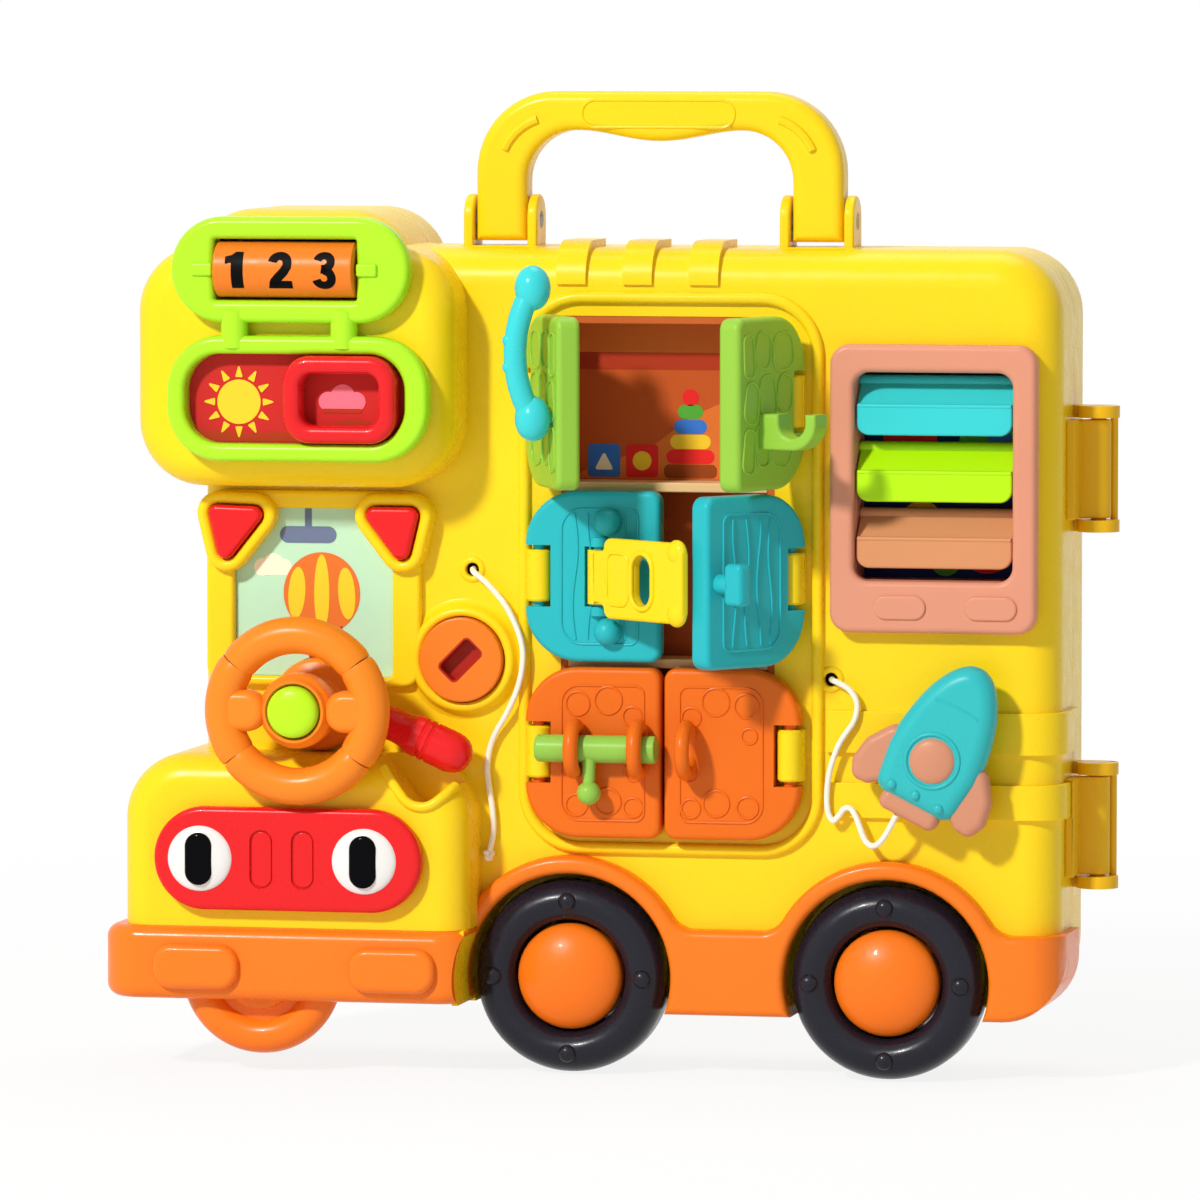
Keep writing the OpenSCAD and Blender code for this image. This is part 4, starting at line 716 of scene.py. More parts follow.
REAR_BLOCKS = ((CASE, CASE_EDGE), ((-156, -68, 196, 276.3), 10), ((-144, -66, 196.4, 288), 10),
               ((-161, -43, BUMPER_LOW, 106.5), 10))
BACK_PANEL = (-96, 128, 62, 236)


def rear_half(inset, depth):
    """Outline of the bus in the back half, with round back edges."""
    forms = [shell_block(box, inset, inset, depth, edge_r) for box, edge_r in REAR_BLOCKS]
    return combine(forms[0], forms[1:], "UNION")


back_form = combine(rear_half(0, CASE_BACK - SEAM_BACK), [rear_half(WALL, 40)])
panel = slab([rrect(*BACK_PANEL, 16, 10), rrect(*grow(BACK_PANEL, -3.5), 12.5, 10)], -0.8, 0.5, 0.5, 2)
TO_BACK = PANEL @ move(0, CASE_BACK, 0) @ Matrix.Scale(-1, 4, (0, 1, 0)) @ FACING
piece("back_case", [back_form, panel], YELLOW, "back_shell", "back_half", at=TO_BACK, sharp=32)
carried("inner_cover", YELLOW, 0.4)
carried("cover_screws", STEEL, 0.2)
feet = [slab([soft([(mid - 12, 0), (mid + 12, 0), (mid + 16, 23), (mid - 16, 23)], [4, 4, 1, 1], 6)],
             40, 58, 3, 4) for mid in [x - 9.6 for x in WHEELS]]
piece("feet", feet, NAVY, "rear_feet", "back_half")
# The hinge bars, knuckles and leaves take the yellow darkened as painted shade.
hinge_bars = [upright(165.2, 35.3, low, low + 42, 1.3, 16) for low in (62.4, 181.4)]
piece("hinge_bars", hinge_bars, HINGE_YELLOW_PAINTED_SHADE, body="back_half")
carried("back_hinge_knuckles", HINGE_YELLOW_PAINTED_SHADE, 0.7)
carried("case_hinge_leaves", HINGE_YELLOW_PAINTED_SHADE, 0.6)


# Bumper, skirt and wheels

ARCH_R, ARCH_FILLET = 40.5, 9.0
SKIRT_LOW, SKIRT_LOW_LEFT, SKIRT_END, SKIRT_CORNER = 20.5, 25.0, 154.5, 20


def skirt_outline():
    """Front view of the skirt, with a band round each wheel's opening."""
    def well_end(z, side):
        """Angle at which a wheel's opening meets a height."""
        return degrees(atan2(z - AXLE_V, side * sqrt(WELL_R ** 2 - (AXLE_V - z) ** 2)))

    loop = [(-62, SKIRT_LOW_LEFT)]
    for x, start in zip(WHEELS, (SKIRT_LOW_LEFT, SKIRT_LOW)):
        loop += arc(x, AXLE_V, WELL_R, well_end(start, -1) % 360, well_end(SKIRT_LOW, 1), 40)
    loop += arc(SKIRT_END - SKIRT_CORNER, SKIRT_LOW + SKIRT_CORNER, SKIRT_CORNER, 270, 360, 12)
    loop.append((SKIRT_END, SKIRT_TOP))
    fillet_v = SKIRT_TOP + ARCH_FILLET
    rise = fillet_v - AXLE_V
    out = sqrt((ARCH_R + ARCH_FILLET) ** 2 - rise ** 2)
    lean = degrees(atan2(rise, out))
    for x in reversed(WHEELS):
        loop += arc(x + out, fillet_v, ARCH_FILLET, 270, 180 + lean, 8)
        loop += arc(x, AXLE_V, ARCH_R, lean, 180 - lean, 40)
        loop += arc(x - out, fillet_v, ARCH_FILLET, -lean, -90, 8)
    loop.append((-62, SKIRT_TOP))
    return loop


skirt = slab([skirt_outline()], -7, SEAM_FRONT, 2.6, 4, back_round=False)
skirt = combine(skirt, [case_block(0, 0, PAST_SEAM, 6)])
end_plan = rrect(-63, SKIRT_END, -PAST_SEAM, 7.01, [0, 0, 13, 0], 14)
skirt = combine(skirt, [plan_slab(end_plan, 15, 75, 0.0)], "INTERSECT")
bumper_plan = rrect(-167.5, -40, -40, 30, [0, 0, 13, 13], 14)
bumper = plan_slab(bumper_plan, BUMPER_LOW, SKIRT_TOP, 4.5, 6)
trim(bumper, (0, 0, -SEAM_FRONT), (0, 0, -1))
bumper = combine(bumper, [well(WHEELS[0], 34.8, -50, 60), case_block(0, 0, PAST_SEAM, 6)])
pads = [slab([rrect(x, x + 29.7, 28.3, 43.4, 6.5)], -33.4, -27, 2.6, 6) for x in (-148.8, -81.5)]
piece("bumper_and_skirt", [skirt, bumper] + pads, ORANGE, "skirt", sharp=38)

SPARE = (-114.4, 33.3)
ring = lathe([(21.5 + 6 * cos(a), -17 - 6 * sin(a)) for a in turns(24) + [2 * pi]], 96, SPARE)
plate = lathe([(0, -14), (17, -14), (17, -19), (12.5, -19.4), (12, -22.5), (10.5, -23.4), (0, -24)],
              72, SPARE)
piece("under_wheel", [clip(form, high=24.6) for form in (ring, plate)], ORANGE, "bumper_wheel")

TYRE = [(18.5, 11.6), (29.5, 11.6), (31.6, 10.2), (32.5, 7.5), (32.5, 1.5), (32.2, -1.2), (31.2, -4.2),
        (29.4, -6.6), (27.2, -7.9), (25, -8.3), (22.8, -7.9), (20.7, -6.6), (19.3, -4.6), (18.6, -2),
        (18.5, 3), (18.5, 11.6)]
HUB = [(0, -10.6), (3, -10.5), (6, -10.1), (9, -9.4), (12, -8.3), (14.5, -7), (16.4, -5.5), (17.4, -4.2),
       (17.8, -2.6), (17.8, 10), (3.1, 10), (3.1, -2.4), (0, -2.4)]
for x, body in zip(WHEELS, ("wheel_left", "wheel_right")):
    bumps = [ball(u, -8.0, v, 3.0, (1, 0.75, 1)) for u, v in disc(x, AXLE_V, 25.45, 4)]
    tyre = lathe(TYRE, 96, (x, AXLE_V))
    piece(body + "_rubber", [tyre] + bumps, NAVY, body + "_tyre", body)
    piece(body + "_cap", [lathe(HUB, 96, (x, AXLE_V))], ORANGE_HUB, body + "_hub", body)
carried("wheel_axles", STEEL)


# Sign, roller and slider

SIGN = (-141.2, -59.8, 251.2, 286.3)
ROLLER, ROLLER_R, ROLLER_HALF = (-102.1, -28.5, 268.75), 9.3, 23.9
TRACK = (-136.6, -61.6, 211.0, 240.8)
SIGN_FRONT, SIGN_CARD = -34, -26.5
sign = slab([pill(*SIGN, 20), rrect(-126.4, -77.8, 258.6, 278.9, 0.8, 3)], SIGN_FRONT, FACE, 2.4, 5)
surround = rrect(-142.6, -53.6, 205, 246.8, 18, 14)
frame_form = slab([surround, rrect(*TRACK, 12, 12)], SIGN_FRONT, FACE, 2.2, 5)
posts = [tube([(x, -30, 243.5), (x, -30.4, 246), (x, -30.4, 252), (x, -30, 254.5)],
              [4.9, 4.5, 4.5, 4.9], 24) for x in (-120, -82.6)]
bosses = [rounded_box((a, -35.2, 266.6), (b, -31, 271), 0.9) for a, b in ((-134, -126.6), (-77.6, -70.4))]
piece("sign_frames", [sign, frame_form] + posts + bosses, LIME, "sign_frame")
drum_end = [(1.6, 0), (8.4, 0), (ROLLER_R - 0.1, 0.5), (ROLLER_R, 1.2)]
drum = lathe([(r, d - ROLLER_HALF) for r, d in drum_end]
             + [(r, ROLLER_HALF - d) for r, d in drum_end[::-1]], 72)
ROLL = PANEL @ move(*ROLLER) @ ALONG_U @ Matrix.Scale(-1, 4, (0, 0, 1))
moving("roller_drum", [drum], ORANGE_DISC, "number_roller", at=ROLL)
carried("roller_axle", STEEL)

DIGITS = {
    1: [soft([(-1.7, -6.5), (2.4, -6.5), (2.4, 6.5), (-0.2, 6.5), (-1.6, 5.2), (-3.8, 4.6), (-3.8, 2.0),
              (-1.7, 2.5)], 0.2, 2)],
    2: [stroke(arc(0, 2.5, 2.5, 175, 0) + [(2.4, 1.3), (1.3, -0.5), (-0.7, -2.5), (-1.9, -3.9),
                                           (-2.3, -5)], 3.1),
        soft([(-4.1, -6.5), (4.1, -6.5), (4.1, -3.6), (-3.4, -3.6)], 0.2, 2)],
    3: [stroke(arc(0, 2.9, 2.3, 168, -70, 18) + [(0.2, 0.5), (-0.9, 0.5)], 2.8),
        stroke([(-0.9, 0.5), (0.3, 0.3)] + arc(0, -2.6, 2.6, 80, -168, 20), 2.9)],
}


def wrapped(loops, offset, radius):
    """Flat outlines bent round the roller."""
    forms = []
    for loop in loops:
        bm = slab([loop], -0.06, 0.06)
        for k in range(-16, 17):
            bmesh.ops.bisect_plane(bm, geom=bm.verts[:] + bm.edges[:] + bm.faces[:], dist=0.0001,
                                   plane_co=(0, 0.4 * k, 0), plane_no=(0, 1, 0))
        for vert in bm.verts:
            u, v, out = vert.co
            r = radius + out
            vert.co = (u + offset, r * sin(v / radius), r * cos(v / radius))
        forms.append(bm)
    return forms


digits = [f for n, u in ((1, -15.6), (2, -0.6), (3, 14.4)) for f in wrapped(DIGITS[n], u, ROLLER_R + 0.03)]
piece("roller_digits", digits, DIGIT, body="number_roller", at=PANEL @ move(*ROLLER) @ FACING)

board = slab([rrect(*grow(TRACK, -0.1), 12, 12)], SIGN_CARD, FACE)
piece("slider_board", [board], INK["slider_red"], "slider_card")
SLIDER = (-102.4, -64, 211.35, 240.45)
slider = slab([rrect(*SLIDER, 9, 10), rrect(*grow(SLIDER, -6), 4)], -37, -27.1, 2.6, 6)
piece("slider_window", [slider], RED_SLIDER, "slider_frame", "slider")

SUN = (-119.5, 224.6)
ray = soft([(-1.3, 8.2), (1.3, 8.2), (0, 12.6)], 0.3, 2)
hill = soft([(-136.4, 211.4), (-62, 211.4), (-62, 215), (-80, 219.5), (-99, 215), (-118, 214),
             (-136.4, 216)], [8, 8, 2, 9, 9, 9, 2], 4)
art("sign_hill", "deep_red", SIGN_CARD, [hill])
art("sign_sun", "yellow", SIGN_CARD, [disc(*SUN, 7.4)] + [turned(ray, 30 * i, SUN) for i in range(12)], 2)
art("sign_cloud", "pink", SIGN_CARD, [disc(-84, 226.5, 4.2), disc(-89, 225, 3.2), disc(-79.4, 225, 3.2),
                                      rrect(-91, -77.5, 222, 225.4, 1.6)], 2)
art("sign_cloud_edge", "deep_red", SIGN_CARD, [rrect(-91, -77.5, 221.2, 222.6, 0.6)], 3)


# Windscreen, buttons and driving controls

SCREEN_CARD = -0.8
BALLOON_U, BALLOON_V = -97.6, 159.4
card = slab([rrect(*grow(SCREEN, -0.1), 2)], SCREEN_CARD, -0.05)
openings = [disc(*STEER, 15.7)] + [grown(c, 7.2) for c in BUTTONS.values()]
card = combine(card, [slab([loop], -3, 3) for loop in openings])
piece("screen_board", [card], INK["mint"], "windscreen_card")
art("mirror_stem", "grey", SCREEN_CARD, [rrect(-103.4, -101.0, 180.4, 187.8, 0.2)])
art("mirror_glass", "grey", SCREEN_CARD, [pill(-112, -92.5, 176.2, 181.8)], 2)
art("balloon_body", "orange", SCREEN_CARD, [disc(BALLOON_U, BALLOON_V, 13.2, squeeze=1.04)], 2)
stripes = [disc(BALLOON_U + side * 8.6, BALLOON_V, 2.9, squeeze=3.0, turn=side * 4) for side in (-1, 1)]
stripes.append(disc(BALLOON_U, BALLOON_V, 2.6, squeeze=5.0))
art("balloon_stripes", "yellow", SCREEN_CARD, stripes, 3)
basket = [soft([(-102, 137.4), (-93.2, 137.4), (-92.4, 143), (-102.8, 143)], 0.8, 3),
          stroke([(-102, 142.8), (-104.6, 148.4)], 0.7), stroke([(-93.2, 142.8), (-90.6, 148.4)], 0.7)]
art("balloon_basket", "brown", SCREEN_CARD, basket, 2)
art("screen_cloud", "cream", SCREEN_CARD, [disc(-118, 168, 3.0), disc(-114.4, 169, 3.6),
                                           disc(-110.8, 168, 2.8), rrect(-120.6, -108.2, 165.2, 168, 1.4)])
for name, corners in BUTTONS.items():
    moving(name + "_cap", [slab([grown(corners, 3.0)], -9.9, -2.9, 1.7, 5)], RED, name)

column = lathe([(0, -28.4), (3.9, -28.4), (3.9, -27.7), (8.4, -27.7), (9, -27), (9, -10.5), (10.5, -9.2),
                (14.2, -8.4), (15.2, -7.4), (15.5, -5.8), (15.5, -0.1), (0, -0.1)], 72, STEER)
piece("column", [column], ORANGE_WHEEL, "steering_column")

RIM_R, RIM_Y, RIM_THICK = 25.2, -34, (6.2, 6.3)
RIM_SEAMS, RIM_GAP = (37, 143, 217, 323, 397), 0.2


def rim_part(start, end, thick):
    """Part of the steering wheel's ring, with rounded ends."""
    steps = max(6, int((end - start) / 4))
    ends = [thick - 0.45, thick - 0.02]
    path = [(u, RIM_Y, v) for u, v in arc(*STEER, RIM_R, start, end, steps)]
    return tube(path, ends + [thick] * (steps - 3) + ends[::-1], 28)


rim = [rim_part(a + RIM_GAP, b - RIM_GAP, RIM_THICK[i % 2])
       for i, (a, b) in enumerate(zip(RIM_SEAMS, RIM_SEAMS[1:]))]
collar = lathe([(4.1, -28), (12.0, -28), (12.5, -29), (12.5, -35.4), (12.2, -36.6), (11.4, -37.4),
                (10.9, -38.2), (10.7, -39.4), (10.3, -40), (9.6, -40), (9.1, -39.4), (9.0, -36),
                (9.0, -34.6), (4.1, -34.6), (4.1, -28)], 72, STEER)
spokes = [slab([pill(STEER[0] + a, STEER[0] + b, STEER[1] - 7, STEER[1] + 7, 14)], -39.6, -30.4, 3.4, 8)
          for a, b in ((-27, -9.9), (9.9, 27))]
moving("steering_rim", rim + [collar] + spokes, ORANGE_WHEEL, "steering_wheel")
horn = lathe([(0, -43.4), (3.5, -43.3), (6.2, -42.9), (7.8, -42.2), (8.5, -41.2), (8.7, -39.8),
              (8.7, -37.3), (0, -37.3)], 64, STEER)
moving("horn_cap", [horn], LIME_HORN, "horn_button")

LEVER_FRAME = PANEL @ move(LEVER[0], -14, LEVER[1]) @ spin(LEVER_REST, "Y") @ ALONG_U
lever = lathe([(0, 5.6), (2.7, 5.2), (4.6, 3.6), (5.5, 1.0), (5.5, -4), (5.7, -6.5), (6.5, -8.6),
               (6.9, -10), (6.95, -12.6), (6.5, -13.1), (6.5, -13.5), (6.95, -14), (6.95, -15.2),
               (6.5, -15.7), (6.5, -16.1), (6.95, -16.6), (7, -LEVER_REACH), (6.75, -25.8), (6.05, -27.5),
               (4.9, -29), (3.35, -30.1), (1.7, -30.65), (0, -30.8)], 48)
moving("lever_grip", [lever], RED, "signal_lever", at=LEVER_FRAME)


def key_slot(inset=0.0):
    """Outline of the key's slot, drawn in by an inset."""
    half_u, half_v = 7.4 - inset, 4.3 - inset
    return rrect(-half_u, half_u, -half_v, half_v, 1.9 - inset)


def at_key(loop):
    return turned(loop, 45, KEY)


key_form = lathe([(0, -6.3), (13.2, -6.3), (13.9, -6.0), (14.2, -5.3), (14.2, -0.3), (4, -0.3), (4, 8),
                  (0, 8)], 72, KEY)
key_form = combine(key_form, [slab([at_key(key_slot())], -9, -0.7)])
moving("key_face", [key_form], ORANGE_DISC, "key_disc", sharp=32)
liner = slab([at_key(key_slot(0.05)), at_key(rrect(-6.8, 6.8, -3.7, 3.7, 1.5))], -6.2, -1)
liner_floor = slab([at_key(key_slot(0.1))], -1.3, -0.75)
piece("key_lining", [liner, liner_floor], DARK_RED, "key_slot_liner", "key_disc")


# Headlights

VENTS, EYES, EYE_V = (-111, -96.8), (-132.1, -75.8), 72.3
vents = [slab([pill(x - 4, x + 4, 62.4, 82.2)], -40, -30.9) for x in VENTS]
light = combine(slab([pill(-148.2, -56.6, 55.0, 89.6, 24)], -32, FACE, 2.0, 5), vents)
vent_floors = [slab([pill(x - 3.4, x + 3.4, 63.0, 81.6)], -31.6, -30.6, 0.4, 2) for x in VENTS]
piece("light_plate", [light] + vent_floors, RED, "headlight_plate", sharp=32)
whites = [lathe([(0, -34.4), (4, -34.3), (7.4, -33.9), (9.6, -33.2), (10.7, -32.5), (11, -31.9),
                 (0, -31.9)], 64, (x, EYE_V)) for x in EYES]
piece("light_discs", whites, WHITE, "eye_whites")
pills = [slab([pill(x - 4.6, x + 4.6, EYE_V - 8.8, EYE_V + 8.8, 14)], -35.3, -32.6, 1.3, 6) for x in EYES]
piece("light_pills", pills, BLACK, "eye_pupils")


# Doors

DOOR_AT = {("green", "left"): left_door(2, 64), ("green", "right"): right_door(2, 72),
           ("teal", "left"): left_door(1, 0), ("teal", "right"): right_door(1, 55),
           ("orange", "left"): left_door(0, 0), ("orange", "right"): right_door(0, 0)}
HASP_OPEN = 39
DOOR_HALF = 28.5


def door_leaf(*cuts):
    """Door with rounded edges, a notch for its clip and the hinge pin across the notch."""
    leaf = slab([rrect(-4, 42, -DOOR_HALF, DOOR_HALF, [18, 4, 4, 18], 10)], -4, 4, 1.9, 5)
    leaf = combine(leaf, [box_cut(-9, 4.8, -10.3, 10.3, -9, 9), *cuts])
    return [leaf, upright(0, 0, -11.3, 11.3, 2.0)]


def door(colour, side, material, pattern, extras=(), cuts=()):
    """Door leaf with its pattern and what stands on it."""
    forms = door_leaf(*cuts) + pattern() + list(extras)
    moving(f"{colour}_{side}_leaf", forms, material, f"{colour}_door_{side}", at=DOOR_AT[colour, side],
           sharp=32)


def ridge(loop, width=0.8, front=-4.4, closed=True):
    """Thin raised line along an outline."""
    return tube([(u, front + 0.28, v) for u, v in loop], width / 2, 8, closed)


GREEN_BLOBS = ((12.5, 17, 7.2, 6.4, -8), (26, 17.8, 5.4, 6.2, 12), (35.4, 16, 3.6, 7.4, -4),
               (11.2, 3.2, 5.2, 6.4, 10), (22.6, 2.4, 5.4, 7.4, -10), (33.6, 0.6, 4.8, 7.0, 8),
               (13.8, -13.4, 7.4, 8.0, 6), (26.4, -13.6, 4.4, 7.2, -8), (35.2, -15.2, 4.0, 7.6, 6))
ORANGE_SPOTS = ((14, 16.4, 4), (24.4, 17.6, 4.6), (32.6, 12.4, 3.2), (13.6, -17.4, 3.6),
                (24.2, -16.2, 4.4), (32.8, -18, 3.2), (33, -6.2, 3.0), (13, 6.4, 2.6))
PLANK_LINES = (13.2, 18.4, 23.8, 29.4)


def green_pattern():
    """Net of rounded pebbles."""
    ridges = []
    for u, v, w, h, lean in GREEN_BLOBS:
        corners = [(-w, -h), (w, -0.9 * h), (0.88 * w, h), (-0.92 * w, 0.9 * h)]
        ridges.append(ridge(turned(soft(corners, 0.7 * min(w, h), 4), lean, (u, v))))
    return ridges


def plank_pattern():
    """Frame with wavy planks."""
    ridges = [ridge(rrect(8.5, 34.5, -22.5, 22.5, [7, 3, 3, 7], 6))]
    for k, u in enumerate(PLANK_LINES):
        wave = [(u + 0.9 * sin(0.16 * v + 1.7 * k), v) for v in range(-21, 22, 2)]
        ridges.append(ridge(wave, 0.7, closed=False))
    return ridges


def orange_pattern():
    """Frame with spots."""
    outline = rrect(8.5, 36.5, -22.5, 22.5, [6, 3, 3, 6], 6)
    return [ridge(outline)] + [ridge(disc(u, v, r, 28)) for u, v, r in ORANGE_SPOTS]


door("green", "left", GREEN, green_pattern)
BAR_AT, BAR_LOW, BAR_OUT, BAR_BOW, BAR_L = 34.0, -5.0, 10.3, 6.0, 43.0
BAR_MID, BAR_TOP = BAR_LOW + BAR_L / 2, -BAR_OUT - BAR_BOW
ARC_R = (BAR_L ** 2 / 4 + BAR_BOW ** 2) / (2 * BAR_BOW)
span = degrees(asin(BAR_L / 2 / ARC_R))
bar_path = [(BAR_AT, BAR_TOP + ARC_R - y, v) for y, v in arc(0, BAR_MID, ARC_R, -span, span, 24)]
ends = [ball(BAR_AT, -BAR_OUT, BAR_LOW + up, 6.0, (1, 1, 1.25)) for up in (0, BAR_L)]
bumps = [ball(BAR_AT, BAR_TOP - 2.1, BAR_MID + up, 2.2) for up in (-4.4, 4.4)]
stem = tube([(BAR_AT, 2.4, BAR_LOW), (BAR_AT, -8, BAR_LOW)], 2.0, 20)
moving("swing_bar_grip", [tube(bar_path, 3.8, 24), stem] + ends + bumps, TEAL_BRIGHT, "swing_bar",
       at=DOOR_AT["green", "left"])

HOOK_AT, HOOK_OUT, HOOK_V, HOOK_IN_R, HOOK_R, HOOK_TOP = 24.0, 15.907, -6.0, 4.9, 8.9, 3.0
hook_profile = (arc(-HOOK_OUT, 0, HOOK_R, 270, 180, 14)
                + [(-HOOK_OUT - HOOK_R, HOOK_TOP), (-HOOK_OUT - HOOK_IN_R, HOOK_TOP)]
                + arc(-HOOK_OUT, 0, HOOK_IN_R, 180, 360, 18)
                + [(-HOOK_OUT + HOOK_IN_R, HOOK_TOP), (-3.2, HOOK_TOP), (-3.2, -HOOK_R)])
HOOK_FRAME = DOOR_AT["green", "right"] @ FACING.inverted() @ move(HOOK_AT, 0, HOOK_V) @ ALONG_U
door("green", "right", GREEN, green_pattern)
piece("hook", [slab([hook_profile], -4.5, 4.5, 1.1, 4)], GREEN, body="green_door_right", at=HOOK_FRAME,
      sharp=32)

HASP_AT, HASP_Y = 21.5, -4
hasp_seat = [upright(HASP_AT, HASP_Y, -11, 11, 2.0)]
hasp_seat += [upright(HASP_AT, HASP_Y, z, z + 3, 3.0, 24) for z in (-13, 10)]
hasp_seat += [ball(HASP_AT + 3, -5.5, z, 4.6) for z in (-18.2, 18.2)]
door("teal", "left", TEAL, plank_pattern, hasp_seat, [upright(HASP_AT, HASP_Y, -10, 10, 5.1, 32)])

HASP_FRAME = (PANEL @ move(HINGE_LEFT + HASP_AT, HINGE_Y + HASP_Y, ROWS[1]) @ spin(-HASP_OPEN, "Z")
              @ FACING)
hasp_loop = soft([(1.5, -9), (7, -9), (7.5, -13.4), (41, -13.4), (48, -11.6), (48, 11.6), (41, 13.4),
                  (7.5, 13.4), (7, 9), (1.5, 9)], [0.4, 1.6, 3, 4, 3, 3, 4, 3, 1.6, 0.4], 6)
slot_loop = pill(23.0, 32.4, -8.4, 8.4, 14)
hasp_plate = slab([hasp_loop, slot_loop], -4.5, -1, 1.1, 4)
slot_rim = slab([pill(21.2, 34.2, -10.2, 10.2, 14), slot_loop], -5.5, -3.5, 0.8, 4)
hasp_relief = ridge(rrect(9.5, 20.5, -8.6, 8.6, 3.2, 6), 1.0, -4.9)
barrel = combine(upright(0, 0, -9, 9, 4.0, 40), [upright(0, 0, -15, 15, 2.06, 24)])
hasp_ears = [ball(43.8, -2.75, z, 4.2, (1, 0.62, 1)) for z in (-10.2, 10.2)]
moving("hasp_plate", [hasp_plate, slot_rim, hasp_relief, barrel] + hasp_ears, YELLOW_HASP, "hasp",
       at=HASP_FRAME)

door("teal", "right", TEAL, plank_pattern)
KNOB_AT = 36
knob = [rounded_box((KNOB_AT - 3.1, -16.3, -7), (KNOB_AT + 3.1, -8.3, 7), 2.0, 4),
        tube([(KNOB_AT, 2.4, 0), (KNOB_AT, -10.5, 0)], 2.0, 20),
        tube([(KNOB_AT, -4.1, 0), (KNOB_AT, -10, 0)], 3.3, 24)]
moving("knob_block", knob, TEAL, "turn_knob", at=DOOR_AT["teal", "right"])

RING_Y, RING_R, BOLT_V = -9.45, 7.6, 1.8
STALK_AT, STALK_Y = 19.2, RING_Y - 1


def bolt_ring(at):
    """Ring that the bolt slides in."""
    path = [(at, RING_Y - RING_R * cos(a), BOLT_V + RING_R * sin(a)) for a in turns(48)]
    return tube(path, 2.5, 18, closed=True)


door("orange", "left", ORANGE_DOOR, orange_pattern, [bolt_ring(a) for a in (14.2, 35.6)])
door("orange", "right", ORANGE_DOOR, orange_pattern, [bolt_ring(33.3)])
bar = tube([(u, RING_Y, BOLT_V) for u in (1.0, 1.6, 2.2, 41.0, 41.6, 42)],
           [3.7, 4.4, 4.6, 4.6, 4.4, 3.7], 36)
stalk = upright(STALK_AT, STALK_Y, BOLT_V, BOLT_V - 12.6, [2.6, 1.9])
moving("bolt_bar", [bar, stalk, ball(STALK_AT, STALK_Y, BOLT_V - 14.6, 4.0)], BOLT_GREEN, "bolt",
       at=DOOR_AT["orange", "left"])
CLIP_HALF = 8.6
clips = []
for z in ROWS:
    for x, side in ((HINGE_LEFT, -1), (HINGE_RIGHT, 1)):
        heights = (-CLIP_HALF, 0.7 - CLIP_HALF, CLIP_HALF - 0.7, CLIP_HALF)
        clips.append(tube([(x, HINGE_Y, z + h) for h in heights], [3.6, 4.2, 4.2, 3.6], 32))
        near, far = sorted((x - side * 1.0, x + side * 4.5))
        clips.append(rounded_box((near, HINGE_Y, z - CLIP_HALF), (far, 0.3, z + CLIP_HALF), 0.6))
piece("door_clips", clips, YELLOW_HASP, "door_hinge_clips")


# Cupboard

carried("cupboard_tray", CUPBOARD, 0.3)
CARD_Y, CARD_LEFT, CARD_RIGHT = 16.7, -13, 54.2
FLOORS = ((86.0, 135.9), (138.9, 194.7), (197.7, 250.6))
STACK_U = 25.0
boards = [slab([rrect(CARD_LEFT - 0.1, CARD_RIGHT + 0.1, low + 0.1, high - 0.1, 0.2, 2)], CARD_Y, 17.5)
          for low, high in FLOORS]
piece("cupboard_boards", boards, INK["rust"], "cupboard_cards")
shelves = [rounded_box((-13.2, -0.2, z - 1.6), (54.4, 16.5, z + 1.6), 0.5) for z in (137.4, 196.2)]
piece("shelf_planks", shelves, SHELF)
top_hill = soft([(CARD_LEFT, 198), (CARD_RIGHT, 198), (CARD_RIGHT, 228), (40, 225.5), (26, 219.5),
                 (12, 209), (CARD_LEFT, 200)], [0.2, 0.2, 3, 10, 14, 14, 1], 5)
low_hill = soft([(CARD_LEFT, 86.2), (CARD_RIGHT, 86.2), (CARD_RIGHT, 98), (30, 106), (CARD_LEFT, 96)],
                [0.2, 0.2, 2, 12, 2], 4)
art("top_band", "orange", CARD_Y, [rrect(CARD_LEFT, CARD_RIGHT, 240.4, 250.4, 0.2, 2)])
art("top_stripe", "deep_red", CARD_Y, [rrect(CARD_LEFT, CARD_RIGHT, 234.6, 240.4, 0.2, 2)])
art("top_hill", "orange", CARD_Y, [top_hill])
art("stack_base", "brown", CARD_Y, [rrect(STACK_U - 9, STACK_U + 9, 198.4, 203, 1.8)], 2)
for k, (w, ink) in enumerate(((8.2, "red"), (6.9, "yellow"), (5.6, "blue"), (4.3, "green"))):
    art(f"stack_ring_{k}", ink, CARD_Y, [pill(STACK_U - w, STACK_U + w, 203.2 + 5 * k, 208 + 5 * k)], 2)
art("stack_knob", "red", CARD_Y, [disc(STACK_U, 225.4, 2.8, 32)], 2)
art("block_red", "red", CARD_Y, [rrect(3, 14, 198.6, 209.6, 1.3)], 2)
art("block_red_spot", "yellow", CARD_Y, [disc(8.5, 204.1, 3.2, 32)], 3)
art("block_blue", "blue", CARD_Y, [rrect(-10, 1, 198.6, 209.6, 1.3)], 2)
art("block_blue_spot", "cream", CARD_Y, [soft([(-7.8, 201), (-1.2, 201), (-4.5, 207.2)], 0.6, 3)], 3)
art("middle_ball", "red", CARD_Y, [disc(45, 147, 7.4)], 2)
art("middle_ball_stripe", "cream", CARD_Y, [disc(45, 147, 2.4, squeeze=3.0, turn=20)], 3)
art("low_hill", "brown", CARD_Y, [low_hill])


# Shutter

